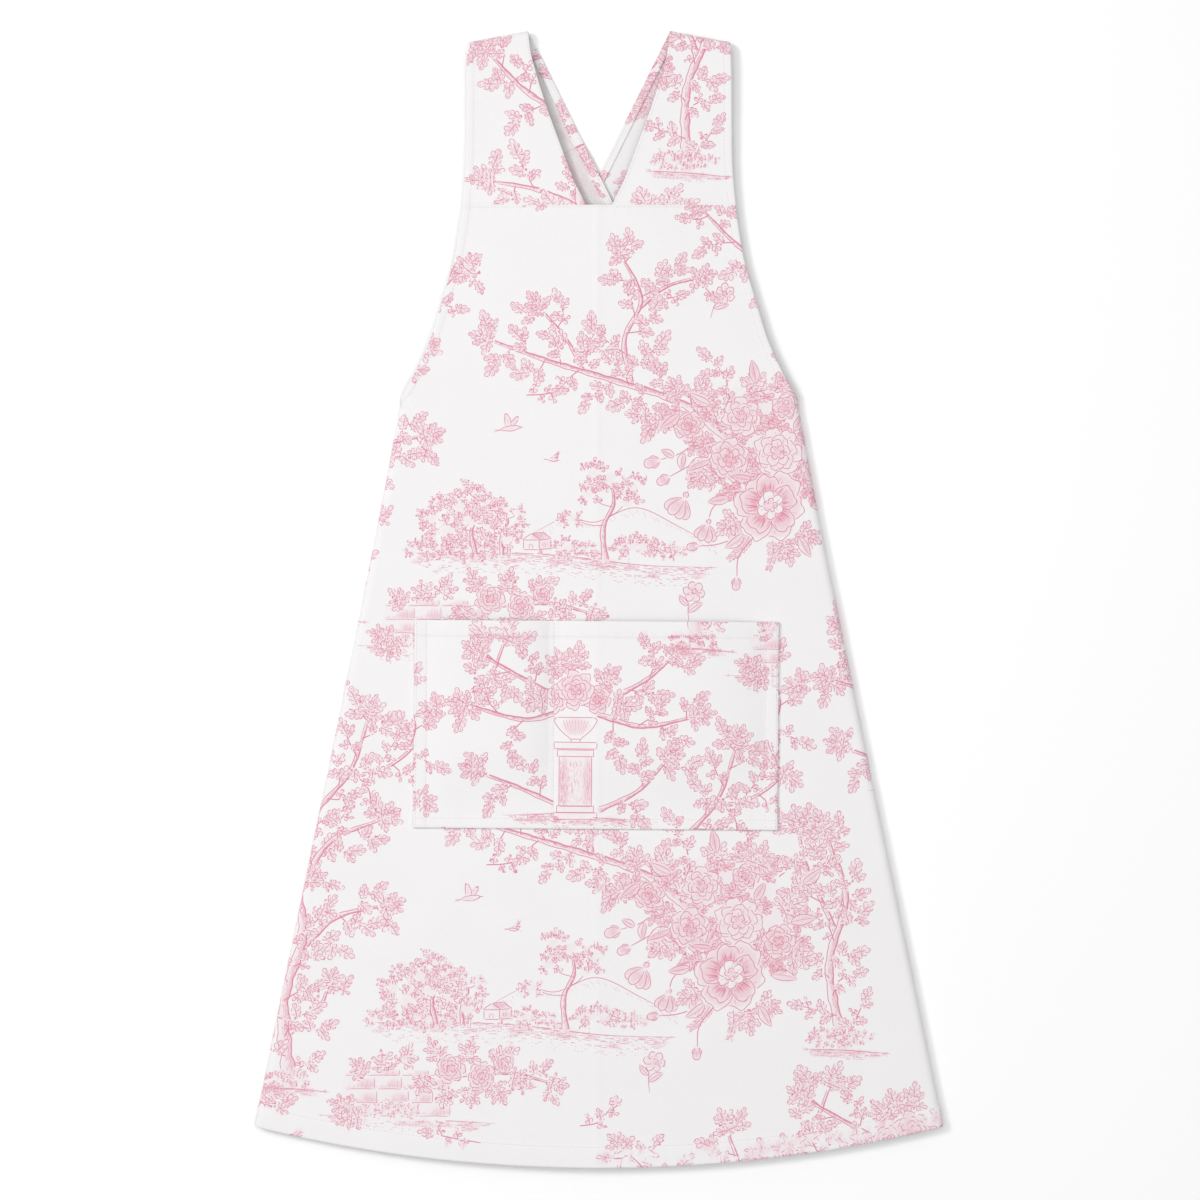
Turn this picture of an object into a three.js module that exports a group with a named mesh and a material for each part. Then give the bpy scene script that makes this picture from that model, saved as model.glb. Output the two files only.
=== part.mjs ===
// Cross back apron, lying flat with its front up.
// Millimetres, +Z up, +X to the viewer's right, +Y towards the shoulders.
// The origin is the middle of the part's footprint, on the surface that it lies on.
import * as THREE from "three";

// Lengths down the front, from the shoulder folds to the lowest point of the hem
const SHOULDER_DROP = 146;
const BIB_HEIGHT = 163;
const SKIRT_LENGTH = 641;

// Widths of the front as it lies
const BIB_WIDTH = 228;
const SIDE_WIDTH = 332;
const HEM_WIDTH = 577;
const HEM_RISE = 33;

// Cloth, turned edges and the space between neighbouring pieces
const CLOTH = 1.2;
const CLEARANCE = 0.3;
const HEM_BAND = 18;
const SIDE_BAND = 7;
const SEAM_BAND = 8;
const BAND_STEP = 0.8;

// How the front lies over the back
const FOLD_RADIUS = 6;
const SKIRT_CROWN = 2;
const BIB_EDGE = 10;
const BIB_CROWN = 3;
const ARMHOLE_TURN = 8;
const CREASE_X = -1.7;
const CREASE_HALF = 5;
const CREASE_RISE = 0.7;

// Back panels
const BACK_OPENING = 80;
const BACK_BAND = 10;
const BACK_TOP_DROP = 16;
const BACK_TURN_WIDTH = 40;
const BACK_TURN_RISE = 8;
const BACK_HEM_RISE = 6;

// Straps, each described as the one on the viewer's left
const STRAP_OUTER_X = 109.4;
const STRAP_INNER_X = 59.3;
const STRAP_SLANT = 9.5;
const STRAP_FLARE = 5;
const NECK_HALF_GAP = 11;
const STRAP_BAND = 7;
const STRAP_ROLL = 6;
const STRAP_LEAN_DEG = 26.3;
const STRAP_LAP = 20;
const LIFT_RAMP = 28;
const LIFT_MARGIN = 7;

// Patch pocket, placed from the middle of the front
const POCKET_WIDTH = 304;
const POCKET_HEIGHT = 173.5;
const POCKET_CENTRE_X = -2.5;
const POCKET_TOP_DROP = 493.5;
const POCKET_TILT_DEG = 0.4;
const POCKET_DIVIDER_X = -37.6;
const POCKET_DIVIDER_HALF = 4;
const POCKET_HEM = 14;
const POCKET_SIDE_BAND = 11;
const POCKET_BOTTOM_BAND = 9;
const POCKET_EASE = 4.8;
const POCKET_FILL = 60;

// The armhole edge: share of the way down it, and share of the way out from the bib's corner
const ARMHOLE = [
  { down: 0, out: 0 },
  { down: 0.122, out: 0.042 },
  { down: 0.269, out: 0.103 },
  { down: 0.465, out: 0.236 },
  { down: 0.661, out: 0.381 },
  { down: 0.807, out: 0.538 },
  { down: 0.88, out: 0.635 },
  { down: 0.93, out: 0.72 },
  { down: 0.97, out: 0.84 },
  { down: 1, out: 1 },
];

// The side fold: share of the way down the skirt's side, and share of the way out to the hem's corner
const SIDE_FOLD = [
  { down: 0, out: 0 },
  { down: 0.14, out: 0.127 },
  { down: 0.41, out: 0.396 },
  { down: 0.69, out: 0.683 },
  { down: 1, out: 1 },
];

// A front strap's edges: share of the way down it, and how far each edge has moved across
const STRAP_EDGES = [
  { down: 0, inner: 0, outer: 0 },
  { down: 0.14, inner: 0.055, outer: 0.22 },
  { down: 0.41, inner: 0.293, outer: 0.3 },
  { down: 0.69, inner: 0.597, outer: 0.36 },
  { down: 0.86, inner: 0.795, outer: 0.62 },
  { down: 1, inner: 1, outer: 1 },
];

// Places that follow from the sizes above
const TOP_Y = (SHOULDER_DROP + BIB_HEIGHT + SKIRT_LENGTH) / 2;
const BIB_Y = TOP_Y - SHOULDER_DROP;
const FOOT_Y = BIB_Y - BIB_HEIGHT;
const HEM_Y = FOOT_Y - SKIRT_LENGTH;
const ARMHOLE_END_Y = FOOT_Y - ARMHOLE_TURN;
const BACK_TOP_Y = FOOT_Y - BACK_TOP_DROP;
const HEM_HALF = HEM_WIDTH / 2;
const CORNER_Y = HEM_Y + HEM_RISE;
const HEM_RADIUS = (HEM_HALF ** 2 + HEM_RISE ** 2) / (2 * HEM_RISE);
const FOLD_LENGTH = Math.PI * (FOLD_RADIUS - CLOTH / 2);
const WRAP = FOLD_LENGTH + SIDE_BAND;
const LAYER_LIFT = 2 * CLOTH + CLEARANCE;

// Helpers

const clamp01 = (t) => Math.min(1, Math.max(0, t));
const smooth = (t) => clamp01(t) ** 2 * (3 - 2 * clamp01(t));
const mix = (a, b, t) => a + (b - a) * t;
const shares = (count) => Array.from({ length: count + 1 }, (_, i) => i / count);

// A smooth curve through one column of a table, against its share down; straight on past both ends
function follow(table, column, down) {
  const last = table.length - 1;
  const slope = (i, j) => (table[j][column] - table[i][column]) / (table[j].down - table[i].down);
  if (down <= table[0].down) {
    return table[0][column] + (down - table[0].down) * slope(0, 1);
  }
  if (down >= table[last].down) {
    return table[last][column] + (down - table[last].down) * slope(last - 1, last);
  }
  const i = table.findIndex((row) => row.down > down) - 1;
  const width = table[i + 1].down - table[i].down;
  const t = (down - table[i].down) / width;
  const before = slope(Math.max(0, i - 1), i + 1) * width;
  const after = slope(i, Math.min(last, i + 2)) * width;
  const a = table[i][column];
  const b = table[i + 1][column];
  return (
    a * (1 + 2 * t) * (1 - t) ** 2 + before * t * (1 - t) ** 2 +
    b * t ** 2 * (3 - 2 * t) - after * t ** 2 * (1 - t)
  );
}

// A closed body between two grids of points with the same rows and columns
function clothBody(outer, inner) {
  const rows = outer.length;
  const columns = outer[0].length;
  const points = [...outer.flat(), ...inner.flat()];
  const out = (i, j) => i * columns + j;
  const inn = (i, j) => rows * columns + i * columns + j;
  const index = [];
  const quad = (a, b, c, d) => index.push(a, b, c, a, c, d);
  for (let i = 0; i < rows - 1; i += 1) {
    for (let j = 0; j < columns - 1; j += 1) {
      quad(out(i, j), out(i, j + 1), out(i + 1, j + 1), out(i + 1, j));
      quad(inn(i, j), inn(i + 1, j), inn(i + 1, j + 1), inn(i, j + 1));
    }
    quad(out(i, 0), out(i + 1, 0), inn(i + 1, 0), inn(i, 0));
    quad(out(i, columns - 1), inn(i, columns - 1), inn(i + 1, columns - 1), out(i + 1, columns - 1));
  }
  for (let j = 0; j < columns - 1; j += 1) {
    quad(out(0, j), inn(0, j), inn(0, j + 1), out(0, j + 1));
    quad(out(rows - 1, j), out(rows - 1, j + 1), inn(rows - 1, j + 1), inn(rows - 1, j));
  }
  if (enclosedVolume(points, index) < 0) {
    index.reverse();
  }
  const geometry = new THREE.BufferGeometry();
  geometry.setFromPoints(points);
  geometry.setIndex(index);
  geometry.computeVertexNormals();
  return geometry;
}

// Six times the volume inside the faces, negative when they point in
function enclosedVolume(points, index) {
  const cross = new THREE.Vector3();
  let sum = 0;
  for (let k = 0; k < index.length; k += 3) {
    cross.crossVectors(points[index[k + 1]], points[index[k + 2]]);
    sum += points[index[k]].dot(cross);
  }
  return sum;
}

const mirrored = (grid) => grid.map((row) => row.map((p) => new THREE.Vector3(-p.x, p.y, p.z)));

// Positions along an edge: the band's own edges first, then shares of what is left between them
function banded(start, end, inside) {
  const steps = (band) => (band > 0 ? [0, band, band + BAND_STEP] : [0]);
  return [
    ...steps(start).map((shift) => ({ share: 0, shift, thick: shift <= start && start > 0 })),
    ...inside.map((share) => ({ share, shift: 0, thick: false })),
    ...steps(end).reverse().map((shift) => ({ share: 1, shift: -shift, thick: shift <= end && end > 0 })),
  ];
}

const place = (station, low, high) => mix(low, high, station.share) + station.shift;
const wall = (...stations) => (stations.some((s) => s.thick) ? 2 * CLOTH : CLOTH);

// The front's lie: fold line, top surface and section

function foldHalf(y) {
  const down = (FOOT_Y - y) / (FOOT_Y - CORNER_Y);
  return mix(SIDE_WIDTH / 2, HEM_HALF, follow(SIDE_FOLD, "out", down));
}

function edgeHeight(y) {
  const up = (y - FOOT_Y - FOLD_RADIUS) / (BIB_HEIGHT - FOLD_RADIUS);
  return mix(2 * FOLD_RADIUS, BIB_EDGE, smooth(up));
}

function frontTop(x, y) {
  const across = clamp01(Math.abs(x) / foldHalf(y));
  const crown = mix(SKIRT_CROWN, BIB_CROWN, smooth((y - FOOT_Y) / BIB_HEIGHT));
  const crease = CREASE_RISE * Math.max(0, 1 - Math.abs(x - CREASE_X) / CREASE_HALF);
  return edgeHeight(y) + crown * (1 - across ** 2) ** 2 + crease;
}

// Half of the cloth's width at a height, measured along the cloth from the middle to its cut edge
function clothHalf(y) {
  const wrapped = foldHalf(y) - FOLD_RADIUS + WRAP;
  if (y <= ARMHOLE_END_Y) {
    return wrapped;
  }
  const down = (BIB_Y - y) / (BIB_Y - ARMHOLE_END_Y);
  const end = foldHalf(ARMHOLE_END_Y) - FOLD_RADIUS + WRAP;
  return Math.min(wrapped, mix(BIB_WIDTH / 2, end, follow(ARMHOLE, "out", down)));
}

// A point at a distance along the cloth, and its outward direction: over the top, round the fold, then under
function frontSection(y, along) {
  const side = Math.sign(along) || 1;
  const past = Math.abs(along) - (foldHalf(y) - FOLD_RADIUS);
  if (past <= 0) {
    return { point: new THREE.Vector3(along, y, frontTop(along, y)), out: new THREE.Vector3(0, 0, 1) };
  }
  const turn = Math.min(Math.PI, (past / FOLD_LENGTH) * Math.PI);
  const out = new THREE.Vector3(side * Math.sin(turn), 0, Math.cos(turn));
  const under = Math.max(0, past - FOLD_LENGTH);
  const x = side * (foldHalf(y) - FOLD_RADIUS + FOLD_RADIUS * Math.sin(turn) - under);
  return { point: new THREE.Vector3(x, y, FOLD_RADIUS + FOLD_RADIUS * Math.cos(turn)), out };
}

// How much higher the hem lies at a share of the way out than at the middle
const hemRise = (share) => HEM_RADIUS - Math.sqrt(HEM_RADIUS ** 2 - (share * HEM_HALF) ** 2);

// Front panel: bib and skirt in one piece, wrapped round both side folds

function frontPanel() {
  const wraps = [...shares(6).map((t) => t * (FOLD_LENGTH - BAND_STEP)), FOLD_LENGTH, WRAP];
  const half = [
    ...[0.13, 0.27, 0.41, 0.55, 0.69, 0.8, 0.9].map((share) => ({ share, shift: 0, thick: false })),
    ...wraps.map((shift) => ({ share: 1, shift, thick: shift >= FOLD_LENGTH })),
  ];
  const flipped = half.map(({ share, shift, thick }) => ({ share: -share, shift: -shift, thick }));
  const crease = [-1, 0, 1].map((k) => ({ share: 0, shift: CREASE_X + k * CREASE_HALF, thick: false }));
  const columns = [...flipped.reverse(), ...crease, ...half];

  const above = HEM_Y + HEM_BAND + BAND_STEP;
  const skirt = shares(11).slice(1).map((t) => ({ y: mix(above, ARMHOLE_END_Y, t), rise: 1 - t }));
  const bib = ARMHOLE.slice(1, -1).map(({ down }) => ({ y: mix(BIB_Y, ARMHOLE_END_Y, down), rise: 0 }));
  const rows = [
    { y: HEM_Y, rise: 1, thick: true },
    { y: HEM_Y + HEM_BAND, rise: 1, thick: true },
    { y: above, rise: 1 },
    ...skirt,
    ...bib.reverse(),
    { y: BIB_Y - SEAM_BAND - BAND_STEP, rise: 0 },
    { y: BIB_Y - SEAM_BAND, rise: 0, thick: true },
    { y: BIB_Y, rise: 0, thick: true },
  ].sort((a, b) => a.y - b.y);

  const outer = [];
  const inner = [];
  for (const row of rows) {
    const points = columns.map((column) => {
      const behind = (Math.abs(column.share) === 1 ? Math.abs(column.shift) : 0) / WRAP;
      const y = row.y + row.rise * (hemRise(column.share) + BACK_HEM_RISE * behind);
      const along = column.share * (clothHalf(y) - WRAP) + column.shift;
      const { point, out } = frontSection(y, along);
      return { point, inside: point.clone().addScaledVector(out, -wall(row, column)) };
    });
    outer.push(points.map((p) => p.point));
    inner.push(points.map((p) => p.inside));
  }
  return clothBody(outer, inner);
}

// Back panels: each from the side fold towards the open centre back, flat on the surface

const backJoint = (y) => foldHalf(y) - FOLD_RADIUS - SIDE_BAND - CLEARANCE;

function backPanelGrids() {
  const columns = banded(BACK_BAND, SIDE_BAND, [0.18, 0.34, 0.5, 0.64, 0.76, 0.86]);
  const rows = banded(HEM_BAND, SEAM_BAND, shares(10).slice(1, -1));
  const outer = [];
  const inner = [];
  for (const row of rows) {
    const points = columns.map((column) => {
      const turnX = place(column, BACK_OPENING / 2, backJoint(BACK_TOP_Y));
      const turn = clamp01(1 - (backJoint(BACK_TOP_Y) - turnX) / BACK_TURN_WIDTH);
      const low = HEM_Y + BACK_HEM_RISE + hemRise(turnX / backJoint(BACK_TOP_Y));
      const high = BACK_TOP_Y + BACK_TURN_RISE * turn ** 2;
      const y = place(row, low, high);
      const x = place(column, BACK_OPENING / 2, backJoint(y));
      const inside = new THREE.Vector3(x, y, wall(row, column));
      return { point: new THREE.Vector3(x, y, 0), inside };
    });
    outer.push(points.map((p) => p.point));
    inner.push(points.map((p) => p.inside));
  }
  return { outer, inner };
}

function backPanel(side) {
  const { outer, inner } = backPanelGrids();
  return side > 0 ? clothBody(outer, inner) : clothBody(mirrored(outer), mirrored(inner));
}

// Straps: down the front from the shoulder to the bib, and behind to the far back panel

const STRAP_END_Y = BACK_TOP_Y - STRAP_LAP;
const LEAN = Math.tan(THREE.MathUtils.degToRad(STRAP_LEAN_DEG));

// Both edges of the shoulder fold: the outer one is lower by the slant
const FOLD_EDGES = {
  outer: { x: -STRAP_OUTER_X, y: TOP_Y - STRAP_SLANT },
  inner: { x: -STRAP_INNER_X, y: TOP_Y },
};

// A point on a front strap's edge, at a share of the way from the shoulder fold to the bib seam
function frontEdge(edge, down) {
  const start = FOLD_EDGES[edge];
  const reach = edge === "outer" ? -STRAP_FLARE : STRAP_INNER_X - NECK_HALF_GAP;
  const y = mix(start.y, BIB_Y + CLEARANCE, down);
  return { x: start.x + reach * follow(STRAP_EDGES, edge, down), y };
}

// A point on a back strap's edge, at a share of the way from the shoulder fold to the cut end
function backEdge(edge, down) {
  const start = FOLD_EDGES[edge];
  const y = mix(start.y, STRAP_END_Y, down);
  return { x: start.x + (start.y - y) * LEAN, y };
}

// Where the two back straps cross: the heights of the crossing's upper and lower corners
const CROSS_TOP_Y = TOP_Y - STRAP_INNER_X / LEAN;
const CROSS_BOTTOM_Y = TOP_Y - STRAP_SLANT - STRAP_OUTER_X / LEAN;

// Height of a back strap's underside: up over the panel at its end, and over the other strap if on top
function strapLift(y, onTop) {
  const overPanel = smooth((BACK_TOP_Y + BACK_TURN_RISE + LIFT_RAMP - y) / LIFT_RAMP);
  const below = smooth((y - (CROSS_BOTTOM_Y - LIFT_MARGIN - LIFT_RAMP)) / LIFT_RAMP);
  const above = smooth((CROSS_TOP_Y + LIFT_MARGIN + LIFT_RAMP - y) / LIFT_RAMP);
  return LAYER_LIFT * Math.max(overPanel, onTop ? Math.min(below, above) : 0);
}

function strapGrids(onTop) {
  const rollShare = STRAP_ROLL / SHOULDER_DROP;
  const rollBack = STRAP_ROLL / (TOP_Y - STRAP_END_Y);
  const seam = SEAM_BAND / SHOULDER_DROP;
  const step = BAND_STEP / SHOULDER_DROP;
  const frontRows = [
    { down: 1, thick: true },
    { down: 1 - seam, thick: true },
    { down: 1 - seam - step },
    ...shares(7).slice(1, -1).map((t) => ({ down: mix(1 - seam - step, rollShare, t) })),
  ];
  const rollRows = shares(6).map((t) => ({ angle: Math.PI * (0.5 - t) }));
  const backRows = shares(25).slice(1).map((t) => ({ back: mix(rollBack, 1, t) }));
  const columns = banded(STRAP_BAND, STRAP_BAND, [0.35, 0.65]);

  const outer = [];
  const inner = [];
  for (const row of [...frontRows, ...rollRows, ...backRows]) {
    const edges = ["outer", "inner"].map((edge) => strapEdge(edge, row, rollShare, rollBack));
    const width = Math.hypot(edges[1].x - edges[0].x, edges[1].y - edges[0].y);
    const points = columns.map((column) => {
      const t = column.share + column.shift / width;
      const x = mix(edges[0].x, edges[1].x, t);
      const y = mix(edges[0].y, edges[1].y, t);
      const { z, out } = strapHeight(x, y, row, onTop);
      const point = new THREE.Vector3(x, y, z);
      return { point, inside: point.clone().addScaledVector(out, -wall(row, column)) };
    });
    outer.push(points.map((p) => p.point));
    inner.push(points.map((p) => p.inside));
  }
  return { outer, inner };
}

function strapEdge(edge, row, rollShare, rollBack) {
  if (row.down !== undefined) {
    return frontEdge(edge, row.down);
  }
  if (row.back !== undefined) {
    return backEdge(edge, row.back);
  }
  const inward = 1 - Math.cos(row.angle);
  return row.angle >= 0 ? frontEdge(edge, rollShare * inward) : backEdge(edge, rollBack * inward);
}

// Outside face of a strap, and its outward direction: up in front, round the shoulder, then down
function strapHeight(x, y, row, onTop) {
  if (row.down !== undefined) {
    const z = mix(2 * STRAP_ROLL, frontTop(x, BIB_Y), smooth(row.down));
    return { z, out: new THREE.Vector3(0, 0, 1) };
  }
  if (row.back !== undefined) {
    return { z: strapLift(y, onTop), out: new THREE.Vector3(0, 0, -1) };
  }
  const foldRun = new THREE.Vector3(STRAP_OUTER_X - STRAP_INNER_X, STRAP_SLANT, 0).normalize();
  const away = new THREE.Vector3(-foldRun.y, foldRun.x, 0);
  const out = away.multiplyScalar(Math.cos(row.angle)).setZ(Math.sin(row.angle));
  return { z: STRAP_ROLL * (1 + Math.sin(row.angle)), out };
}

function strap(side, onTop) {
  const { outer, inner } = strapGrids(onTop);
  return side < 0 ? clothBody(outer, inner) : clothBody(mirrored(outer), mirrored(inner));
}

// Pocket: stitched down at its sides, its bottom and its divider, and open along the top

// How far the cloth stands off the front between two lines of stitching, from 0 at them to 1
const puff = (x, low, high) => Math.max(0, 1 - ((2 * (x - low)) / (high - low) - 1) ** 4);

function pocket() {
  const half = POCKET_WIDTH / 2;
  const divider = POCKET_DIVIDER_X - POCKET_CENTRE_X;
  const crease = CREASE_X - POCKET_CENTRE_X;
  const left = [-half + POCKET_SIDE_BAND, divider - POCKET_DIVIDER_HALF];
  const right = [divider + POCKET_DIVIDER_HALF, half - POCKET_SIDE_BAND];
  const humps = [0.06, 0.16, 0.3, 0.5, 0.7, 0.84, 0.94];
  const thin = (x) => ({ x, thick: false });
  const rightHumps = humps
    .map((t) => mix(...right, t))
    .filter((x) => Math.abs(x - crease) > CREASE_HALF);
  const columns = [
    { x: -half, thick: true },
    { x: left[0], thick: true },
    thin(left[0] + BAND_STEP),
    ...humps.map((t) => thin(mix(...left, t))),
    thin(left[1]),
    thin(divider),
    thin(right[0]),
    ...rightHumps.map(thin),
    ...[-1, 0, 1].map((k) => thin(crease + k * CREASE_HALF)),
    thin(right[1] - BAND_STEP),
    { x: right[1], thick: true },
    { x: half, thick: true },
  ].sort((a, b) => a.x - b.x);
  const rows = banded(POCKET_BOTTOM_BAND, POCKET_HEM, [0.15, 0.27, 0.42, 0.57, 0.74]);

  const tilt = THREE.MathUtils.degToRad(POCKET_TILT_DEG);
  const middleY = TOP_Y - POCKET_TOP_DROP - POCKET_HEIGHT / 2;
  const outer = [];
  const inner = [];
  for (const row of rows) {
    const up = place(row, 0, POCKET_HEIGHT);
    const open = smooth((up - POCKET_BOTTOM_BAND) / POCKET_FILL);
    const points = columns.map((column) => {
      const down = up - POCKET_HEIGHT / 2;
      const x = POCKET_CENTRE_X + column.x * Math.cos(tilt) + down * Math.sin(tilt);
      const y = middleY - column.x * Math.sin(tilt) + down * Math.cos(tilt);
      const ease = POCKET_EASE * open * (puff(column.x, ...left) + puff(column.x, ...right));
      const z = frontTop(x, y) + CLEARANCE + 2 * CLOTH + ease;
      return { point: new THREE.Vector3(x, y, z), inside: new THREE.Vector3(x, y, z - wall(row, column)) };
    });
    outer.push(points.map((p) => p.point));
    inner.push(points.map((p) => p.inside));
  }
  return clothBody(outer, inner);
}

// Materials: one printed cotton, a little greyer where the wrong side shows

function cotton(colour) {
  return new THREE.MeshStandardMaterial({ color: colour, roughness: 0.92, metalness: 0 });
}

function piece(name, geometry, colour) {
  const mesh = new THREE.Mesh(geometry, cotton(colour));
  mesh.name = name;
  return mesh;
}

const apron = new THREE.Group();
apron.add(
  piece("front_panel", frontPanel(), "#f6eef0"),
  piece("back_panel_left", backPanel(-1), "#f1e8ea"),
  piece("back_panel_right", backPanel(1), "#f1e8ea"),
  piece("strap_left", strap(-1, true), "#f6eef0"),
  piece("strap_right", strap(1, false), "#f6eef0"),
  piece("pocket", pocket(), "#f7eff1"),
);

export default apron;
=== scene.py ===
"""A printed cotton apron with crossed back straps, laid flat, dressed around its CAD model."""

import itertools
import math

import bpy
import numpy as np
from bpy.props import FloatProperty, FloatVectorProperty, IntProperty, PointerProperty
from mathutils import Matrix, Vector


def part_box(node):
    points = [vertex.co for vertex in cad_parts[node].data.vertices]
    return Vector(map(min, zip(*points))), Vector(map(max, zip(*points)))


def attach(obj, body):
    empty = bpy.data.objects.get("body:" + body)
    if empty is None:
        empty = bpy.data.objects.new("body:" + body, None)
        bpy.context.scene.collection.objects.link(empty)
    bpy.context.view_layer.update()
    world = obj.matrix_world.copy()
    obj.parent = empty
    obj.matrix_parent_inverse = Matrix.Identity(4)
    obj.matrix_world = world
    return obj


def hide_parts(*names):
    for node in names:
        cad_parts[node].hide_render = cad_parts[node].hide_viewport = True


bl_info = {
    "name": "Cross Back Apron",
    "version": (1, 0, 0),
    "blender": (4, 5, 0),
    "location": "3D View > Sidebar > Apron",
    "description": "Sews a printed cross back apron over its plain model",
    "category": "Object",
}

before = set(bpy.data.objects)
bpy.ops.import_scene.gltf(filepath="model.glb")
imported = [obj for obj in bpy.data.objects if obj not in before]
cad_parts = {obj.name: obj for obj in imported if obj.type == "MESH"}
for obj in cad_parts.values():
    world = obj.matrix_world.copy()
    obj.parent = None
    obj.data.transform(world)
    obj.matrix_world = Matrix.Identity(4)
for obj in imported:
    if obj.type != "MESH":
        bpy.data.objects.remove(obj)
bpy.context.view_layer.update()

MM = 0.001
BODY = "root"

# Sizes of the apron in millimetres, read from the plain model where it holds them

FRONT_LOW, FRONT_HIGH = (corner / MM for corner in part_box("front_panel"))
STRAP_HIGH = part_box("strap_left")[1] / MM
BACK_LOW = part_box("back_panel_right")[0] / MM

HEM_HALF = 288.5
HEM_RISE = 33.0
SIDE_HALF = 166.0
BIB_HALF = 114.0
BIB_HEIGHT = 163.0
TOP_Y = STRAP_HIGH.y
BIB_Y = FRONT_HIGH.y
FOOT_Y = BIB_Y - BIB_HEIGHT
HEM_Y = FRONT_LOW.y
CORNER_Y = HEM_Y + HEM_RISE
ARMHOLE_END_Y = FOOT_Y - 8.0
BACK_TOP_Y = FOOT_Y - 16.0
HEM_RADIUS = (HEM_HALF**2 + HEM_RISE**2) / (2 * HEM_RISE)

CLOTH = 1.2
CLEARANCE = 0.3
FOLD_RADIUS = 6.0
HEM_BAND = 18.0
SIDE_BAND = 7.0
SEAM_BAND = 8.0
SKIRT_CROWN = 2.0
BIB_EDGE = 10.0
BIB_CROWN = 3.0
CREASE_X = -1.7
CREASE_HUMPS = ((0.35, 2.8), (0.4, 16.0))
FOLD_LENGTH = math.pi * (FOLD_RADIUS - CLOTH / 2)
WRAP = FOLD_LENGTH + SIDE_BAND
LAYER_LIFT = 2 * CLOTH + CLEARANCE

BACK_EDGE = BACK_LOW.x
BACK_BAND = 10.0
BACK_TURN_WIDTH = 40.0
BACK_TURN_RISE = 8.0
BACK_HEM_RISE = 6.0
BACK_SIDE_SHARE = 0.09
BACK_HEM_SHARE = 0.035
BACK_TOP_SHARE = 0.98
BACK_THINNING = 0.9

STRAP_OUTER_X = 109.4
STRAP_INNER_X = 59.3
STRAP_SLANT = 9.5
STRAP_FLARE = 5.0
NECK_HALF_GAP = 11.0
STRAP_BAND = 7.0
STRAP_ROLL = 6.0
STRAP_LEAN = math.tan(math.radians(26.3))
STRAP_END_Y = BACK_TOP_Y - 20.0
STRAP_TUCK = 6.0
TUCK_DROP = 1.3
TUCK_RAMP = 1.6
ROLL_FRONT = STRAP_ROLL / (TOP_Y - BIB_Y)
ROLL_BACK = STRAP_ROLL / (TOP_Y - STRAP_END_Y)
LIFT_RAMP = 28.0
LIFT_MARGIN = 7.0

POCKET_WIDTH = 304.0
POCKET_HEIGHT = 173.5
POCKET_CENTRE_X = -2.5
POCKET_MIDDLE_Y = TOP_Y - 493.5 - POCKET_HEIGHT / 2
POCKET_TILT = math.radians(0.4)
POCKET_DIVIDER_X = -37.6
POCKET_DIVIDER_HALF = 4.0
POCKET_HEM = 14.0
POCKET_SIDE_BAND = 11.0
POCKET_BOTTOM_BAND = 9.0
POCKET_EASE = 4.8
POCKET_FILL = 60.0
POCKET_SEAM_STEPS = (-4, -2.6, -1.6, -0.8, 0, 0.8, 1.6, 2.6, 4)
POCKET_EDGE_COLUMN = 3
DIVIDER_DEPTH = 0.5
DIVIDER_WIDTH = 1.3
DIVIDER_PULL = 0.14
DIVIDER_REACH = 9.0

STITCH_IN = 0.7
TOPSTITCH = 1.8

# A turned edge: its rounded rim, the stitched groove, and the step where its band ends
RIM = 1.1
RIM_DROP = 0.55
RIM_STEPS = (0, 0.35, 0.9, 1.8)
GROOVE_DEPTH = 0.3
GROOVE_WIDTH = 0.75
GROOVE_STEPS = (-1.6, -0.7, 0, 0.7)
PUCKER = 0.1
PUCKER_REACH = 4.5
PUCKER_WAVES = ((1.0, 0.62, 0.0), (0.7, 0.37, 1.3))
BAND_RAMP = 2.0
BAND_STEPS = (0.3, 1.3)
WALL_RAMP = 0.8

# Unevenness of the laid cloth
WRINKLES = 0.5
CALM_REACH = 30.0
WAVES = 9
WAVE_LENGTHS = (38, 150)
WAVE_SCALE = 90
WAVE_BEND = 6
BEND_SLANT = 0.4
BEND_LENGTH = 83
FRONT_SEED = 11
STRAP_SEED = 23
STRAP_UNEVENNESS = 0.35
POCKET_SEED = 37

# How finely each piece is modelled
WRAP_COLUMNS = 9
PAST_BAND = 2.6
BIB_ROWS = 74
FRONT_COARSE = 4
BACK_COLUMNS = 92
BACK_ROWS = 240
STRAP_STEP = 1.5
STRAP_BEHIND_FINER = 1.08
ROLL_ROWS = 13
POCKET_STEP = 1.7

# How unprinted the wrong side of each strap is, with its ground greyed by painted shade in the same share
# (the left strap in full, the right a quarter), and the half width of it between the turned edges
STRAP_BLANK_AND_SHADE = {"strap_left": 1.0, "strap_right": 0.25}
STRAP_FACING = 18.0

# Where each piece was cut from the printed cloth
FRONT_PRINT = 353 + 6j
STRAP_PRINT = {"strap_left": 75 + 58j, "strap_right": 585 - 12j}
BACK_PRINT = {"back_panel_left": 210 + 40j, "back_panel_right": 60 - 20j}
POCKET_LEFT_PRINT = 68 + 227j
POCKET_RIGHT_PRINT = 77 + 230j

# Outlines as shares: down the edge, and out across it
ARMHOLE = (
    (0.0, 0.0), (0.122, 0.042), (0.269, 0.103), (0.465, 0.236), (0.661, 0.381),
    (0.807, 0.538), (0.88, 0.635), (0.93, 0.72), (0.97, 0.84), (1.0, 1.0),
)
SIDE_FOLD = ((0.0, 0.0), (0.14, 0.127), (0.41, 0.396), (0.69, 0.683), (1.0, 1.0))
STRAP_INNER = ((0.0, 0.0), (0.14, 0.055), (0.41, 0.293), (0.69, 0.597), (0.86, 0.795), (1.0, 1.0))
STRAP_OUTER = ((0.0, 0.0), (0.14, 0.22), (0.41, 0.3), (0.69, 0.36), (0.86, 0.62), (1.0, 1.0))


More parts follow.
